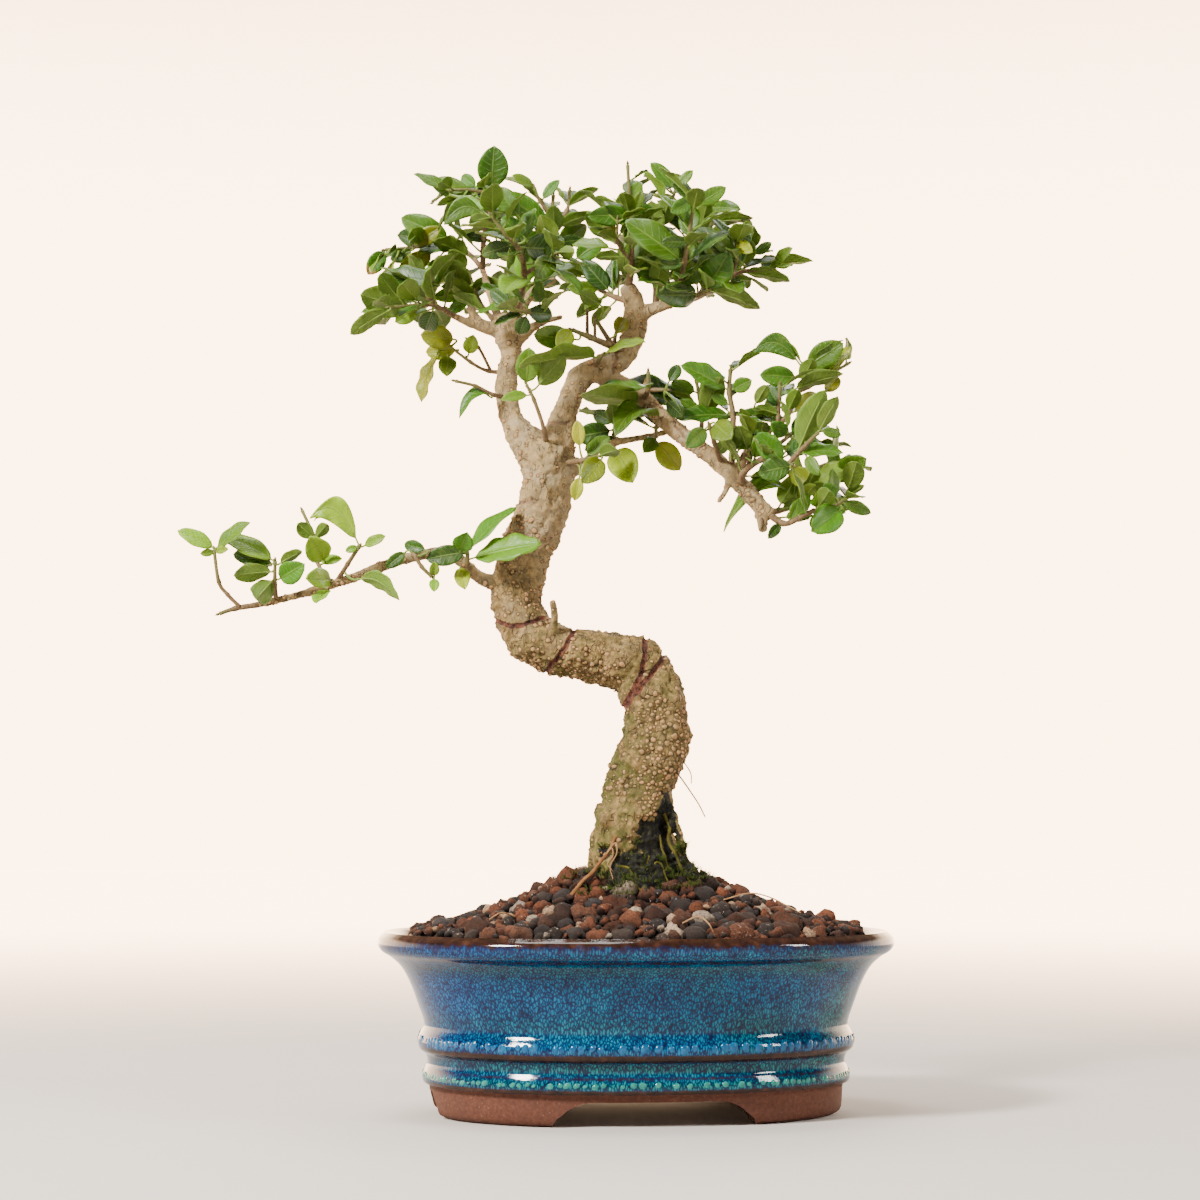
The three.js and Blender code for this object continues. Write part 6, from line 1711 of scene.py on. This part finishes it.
# Mossy strands that run down the bark at the foot.
STRANDS = [
    [[11, 114, -9, 0.6], [13.5, 108, -9, 0.8], [13, 104, -9, 0.8], [16.5, 97, -9, 0.7], [21, 90, -9, 0.7],
     [25, 85, -9, 0.6], [32, 77, -9, 0.5]],
    [[8, 106, -9, 0.4], [11.5, 100, -11, 0.45], [12, 94, -12, 0.5], [17, 88, -12, 0.4], [20, 79, -12, 0.4]],
    [[-6, 93, -14, 0.5], [-2, 91, -15, 0.5], [0, 86, -15, 0.4], [3, 83, -16, 0.4], [1, 77, -16, 0.3]],
    [[2, 97, -12, 0.4], [4, 93, -13, 0.4], [9, 95, -13, 0.4], [12, 89, -14, 0.35], [15, 84, -14, 0.3]],
    [[-14, 95, -12, 0.4], [-11, 91, -14, 0.4], [-10, 85, -15, 0.4], [-12, 79, -15, 0.3]],
    [[16, 100, -8, 0.4], [20, 93, -9, 0.45], [22, 86, -9, 0.4], [27, 79, -9, 0.3]],
    [[17, 106, 4, 0.6], [19, 99, 5, 0.6], [22, 92, 6, 0.5], [24, 84, 8, 0.5], [27, 76, 10, 0.4]],
    [[-15, 95, 16, 0.5], [-17, 88, 18, 0.5], [-17, 82, 19, 0.4], [-19, 76, 20, 0.4]],
]


THREAD_LEAST = 0.2


def make_threads(name, routes, paint, slot):
    shell = Shell()
    for route in routes:
        line = route_line(route, 8)
        shell.add(*tube(line[:, :3], np.maximum(line[:, 3], THREAD_LEAST), 7))
    return carry(shell.build(name, paint), slot)


def skin(wood):
    """A search tree over the points of the bark, with the points and their normals in millimetres."""
    mesh = wood.data
    places, normals = mesh_rows(mesh.vertices, "co") / MM, mesh_rows(mesh.vertices, "normal")
    return search_tree(places), places, normals


def make_strands(bark_skin, paint):
    """Thin roots pressed against the bark."""
    tree, places, normals = bark_skin
    shell = Shell()
    for route in STRANDS:
        line = route_line(route, 8)
        for stop in line:
            _, index, _ = tree.find(stop[:3])
            stop[:3] = places[index] + normals[index] * stop[3] * 0.7
        for _ in range(3):
            line[1:-1, :3] = (line[:-2, :3] + 2 * line[1:-1, :3] + line[2:, :3]) / 4
        shell.add(*tube(line[:, :3], line[:, 3], 8))
    return carry(shell.build("mossy_strands", paint), "bark")


MOSS_COUNT = 66
MOSS_ON_BARK = 90
MOSS_BLADES = 30


def moss_places(bark_skin):
    """Where the moss cushions grow and which way: round the trunk on the soil, and low on the bark."""
    out = []
    for tuft in range(MOSS_COUNT):
        angle = 2 * math.pi * scatter(tuft, 101)
        reach = 15 + (14 - 9 * min(0.0, math.cos(angle))) * scatter(tuft, 102) ** 1.5
        x, y = 1 + reach * math.cos(angle), reach * math.sin(angle) * 0.95
        height = mound(x, y)[0] + (4.0 if reach < 20 else 3.4)
        out.append((np.array([x, y, height]) + POT_MIDDLE, UP, 1.8 + 2.6 * scatter(tuft, 103)))
    tree, places, normals = bark_skin
    for tuft in range(MOSS_ON_BARK):
        u = -18 + 44 * scatter(tuft, 121)
        v = 78 + 26 * scatter(tuft, 122) ** 1.5
        _, index, _ = tree.find(placed(u, v, -16 if scatter(tuft, 123) < 0.75 else 16))
        out.append((places[index], unit(normals[index] + 0.5 * UP), 0.9 + 1.5 * scatter(tuft, 124)))
    return out


def make_moss(bark_skin, paint):
    """Low cushions of moss round the foot of the trunk, each a knot of tiny curved shoots."""
    shell = Shell()
    for tuft, (middle, upward, spread) in enumerate(moss_places(bark_skin)):
        east = unit(np.cross(upward, np.array([0.2, 1.0, 0.1])))
        north = np.cross(upward, east)
        for blade in range(MOSS_BLADES):
            item = tuft * MOSS_BLADES + blade
            turn = 2 * math.pi * scatter(item, 104)
            out = east * math.cos(turn) + north * math.sin(turn)
            root = middle + out * spread * math.sqrt(scatter(item, 105)) - upward * 0.8
            tall = 0.9 + 1.5 * scatter(item, 106) ** 1.5
            bend = out * tall * (0.2 + 0.7 * scatter(item, 107))
            side = np.cross(out, upward) * 0.30
            points, faces = [], []
            for step in range(4):
                share = step / 3
                centre = root + upward * tall * share + bend * share * share
                wide = 1 - 0.85 * share
                points += [centre - side * wide, centre + out * 0.25 * wide, centre + side * wide]
            for step in range(3):
                a = step * 3
                faces += [(a, a + 1, a + 4, a + 3), (a + 1, a + 2, a + 5, a + 4), (a + 2, a, a + 3, a + 5)]
            faces += [(2, 1, 0), (9, 10, 11)]
            shell.add(points, faces)
    return carry(shell.build("moss", paint), "leaf")


# The studio's wall: colour and strength on the camera's side and on the far side, and the depths between them.
WALL_NEAR = ((1.0, 0.89, 0.80), 1.1)
WALL_FAR = ((1.0, 0.69, 0.43), 10.5)
WALL_DEPTH = (-0.1, 0.85)
# Sine of the height above the horizon where the studio's wall starts and ends to darken, and both shares of it.
WALL_FALL = (0.2, 0.46, 1.0, 0.05)
FLOOR_COLOUR = (0.50, 0.465, 0.435)
# Reach from the pot in millimetres where the floor starts to glow and where it is as bright as the wall.
FLOOR_FADE = (200, 1900)


def wall_light(nodes, backward):
    """Colour and strength of the wall in a direction that points backward by this share."""
    lit = nodes.band(backward, *WALL_DEPTH)
    colour = nodes.mix(lit, WALL_NEAR[0], WALL_FAR[0])
    return colour, nodes.math("MULTIPLY_ADD", lit, WALL_FAR[1] - WALL_NEAR[1], WALL_NEAR[1])


def floor_paint():
    """A pale floor that runs into the bright wall with no line between them."""
    paint = Paint("floor", Roughness=0.9, Specular_IOR_Level=0.2)
    away = paint.vector("SUBTRACT", paint.mm, (POT_MIDDLE[0], POT_MIDDLE[1], 0))
    fade = paint.band(paint.vector("LENGTH", away, output="Value"), *FLOOR_FADE)
    colour, strength = wall_light(paint, paint.part(paint.vector("NORMALIZE", away), 1))
    paint.link(colour, paint.shader.inputs["Emission Color"])
    paint.link(paint.math("MULTIPLY", fade, strength), paint.shader.inputs["Emission Strength"])
    return paint.finish(paint.mix(fade, FLOOR_COLOUR, (0, 0, 0)))


def make_world():
    """The studio's wall, darker above and on the camera's side."""
    world = bpy.data.worlds.new("studio")
    bpy.context.scene.world = world
    world.use_nodes = True
    nodes = Nodes(world.node_tree)
    course = nodes.tree.nodes.new("ShaderNodeTexCoord").outputs["Generated"]
    colour, strength = wall_light(nodes, nodes.part(course, 1))
    strength = nodes.math("MULTIPLY", strength, nodes.band(nodes.part(course, 2), *WALL_FALL))
    sky = nodes.tree.nodes["Background"]
    nodes.link(colour, sky.inputs["Color"])
    nodes.link(strength, sky.inputs["Strength"])


FLOOR_CORNERS = [(-5000, -5000), (5000, -5000), (5000, 5000), (-5000, 5000)]
FLOOR_HEIGHT = -0.3
# Each light's place from the point above the pot's middle that all lights aim at, its size, power and colour.
LIGHTS_AIM = 170
LIGHTS = [
    ("key", (-850, -640, 700), (230, 230), 52, (1, 0.955, 0.895)),
    ("fill", (850, -560, 420), (150, 240), 8, (1, 0.965, 0.92)),
    ("top", (-150, 60, 1100), (600, 500), 16, (1, 0.98, 0.95)),
    ("back", (300, 900, 700), (600, 400), 8, (1, 0.98, 0.96)),
]


def make_stage():
    """A pale floor, soft lights and the camera of the photograph's view."""
    floor = Shell()
    corners = [np.array([x, y, FLOOR_HEIGHT]) for x, y in FLOOR_CORNERS]
    floor.add(corners, [(0, 1, 2, 3)])
    floor.build("floor", floor_paint())
    make_world()
    middle = POT_MIDDLE + UP * LIGHTS_AIM
    for name, offset, size, power, tint in LIGHTS:
        light = bpy.data.lights.new(name, "AREA")
        light.shape = "RECTANGLE"
        light.size, light.size_y = (side * MM for side in size)
        light.energy = power
        light.color = tint
        lamp = bpy.data.objects.new(name, light)
        lamp.location = (middle + np.array(offset)) * MM
        lamp.rotation_euler = (-Vector(offset)).to_track_quat("-Z", "Y").to_euler()
        bpy.context.scene.collection.objects.link(lamp)
    data = bpy.data.cameras.new("camera")
    data.sensor_width = CAMERA_SENSOR
    data.lens = CAMERA_LENS
    camera = bpy.data.objects.new("camera", data)
    camera.location = EYE * MM
    camera.rotation_euler = (math.radians(90) + CAMERA_PITCH, 0, TREE_TURN)
    bpy.context.scene.collection.objects.link(camera)
    bpy.context.scene.camera = camera


make_stage()
make_pot(glaze_paint())
blue_glaze = drop_paint("blue_drops", (0.003, 0.040, 0.125), (0.006, 0.100, 0.215))
make_drops("blue_drops", blue_glaze, 28.4, 84.1, 3.3, 3.0, 3.7, 0.4)
green_glaze = drop_paint("green_drops", (0.005, 0.105, 0.100), (0.022, 0.21, 0.16))
make_drops("green_drops", green_glaze, 15.0, 82.3, 3.0, 2.5, 2.4, 0.35)
# The bed's near-black colours are painted shade between the grains.
make_soil_bed(plain_paint("soil_bed", (0.003, 0.002, 0.0015), (0.016, 0.008, 0.005), 4))
make_grains(grain_paint())
wood = make_wood(bark_paint())
make_lenticels(wood, lenticel_paint())
leaf, twig = leaf_paint(), twig_paint()
make_spray_pieces(leaf, twig)
make_threads("bare_twigs", BARE_TWIGS, twig, "bark")
for name, routes, paint in (
        ("hanging_threads", THREADS, plain_paint("thread", (0.035, 0.028, 0.022), (0.09, 0.072, 0.052), 2)),
        ("thin_root", [THIN_ROOT], plain_paint("root", (0.110, 0.040, 0.011), (0.230, 0.105, 0.036), 3)),
        ("straw_roots", STRAWS, plain_paint("straw", (0.20, 0.10, 0.04), (0.34, 0.20, 0.10), 3))):
    make_threads(name, routes, paint, "bark")
bark_skin = skin(wood)
make_strands(bark_skin, plain_paint("mossy_strand", (0.020, 0.020, 0.004), (0.115, 0.100, 0.012), 5))
make_moss(bark_skin, plain_paint("moss", (0.008, 0.016, 0.002), (0.060, 0.085, 0.006), 4))
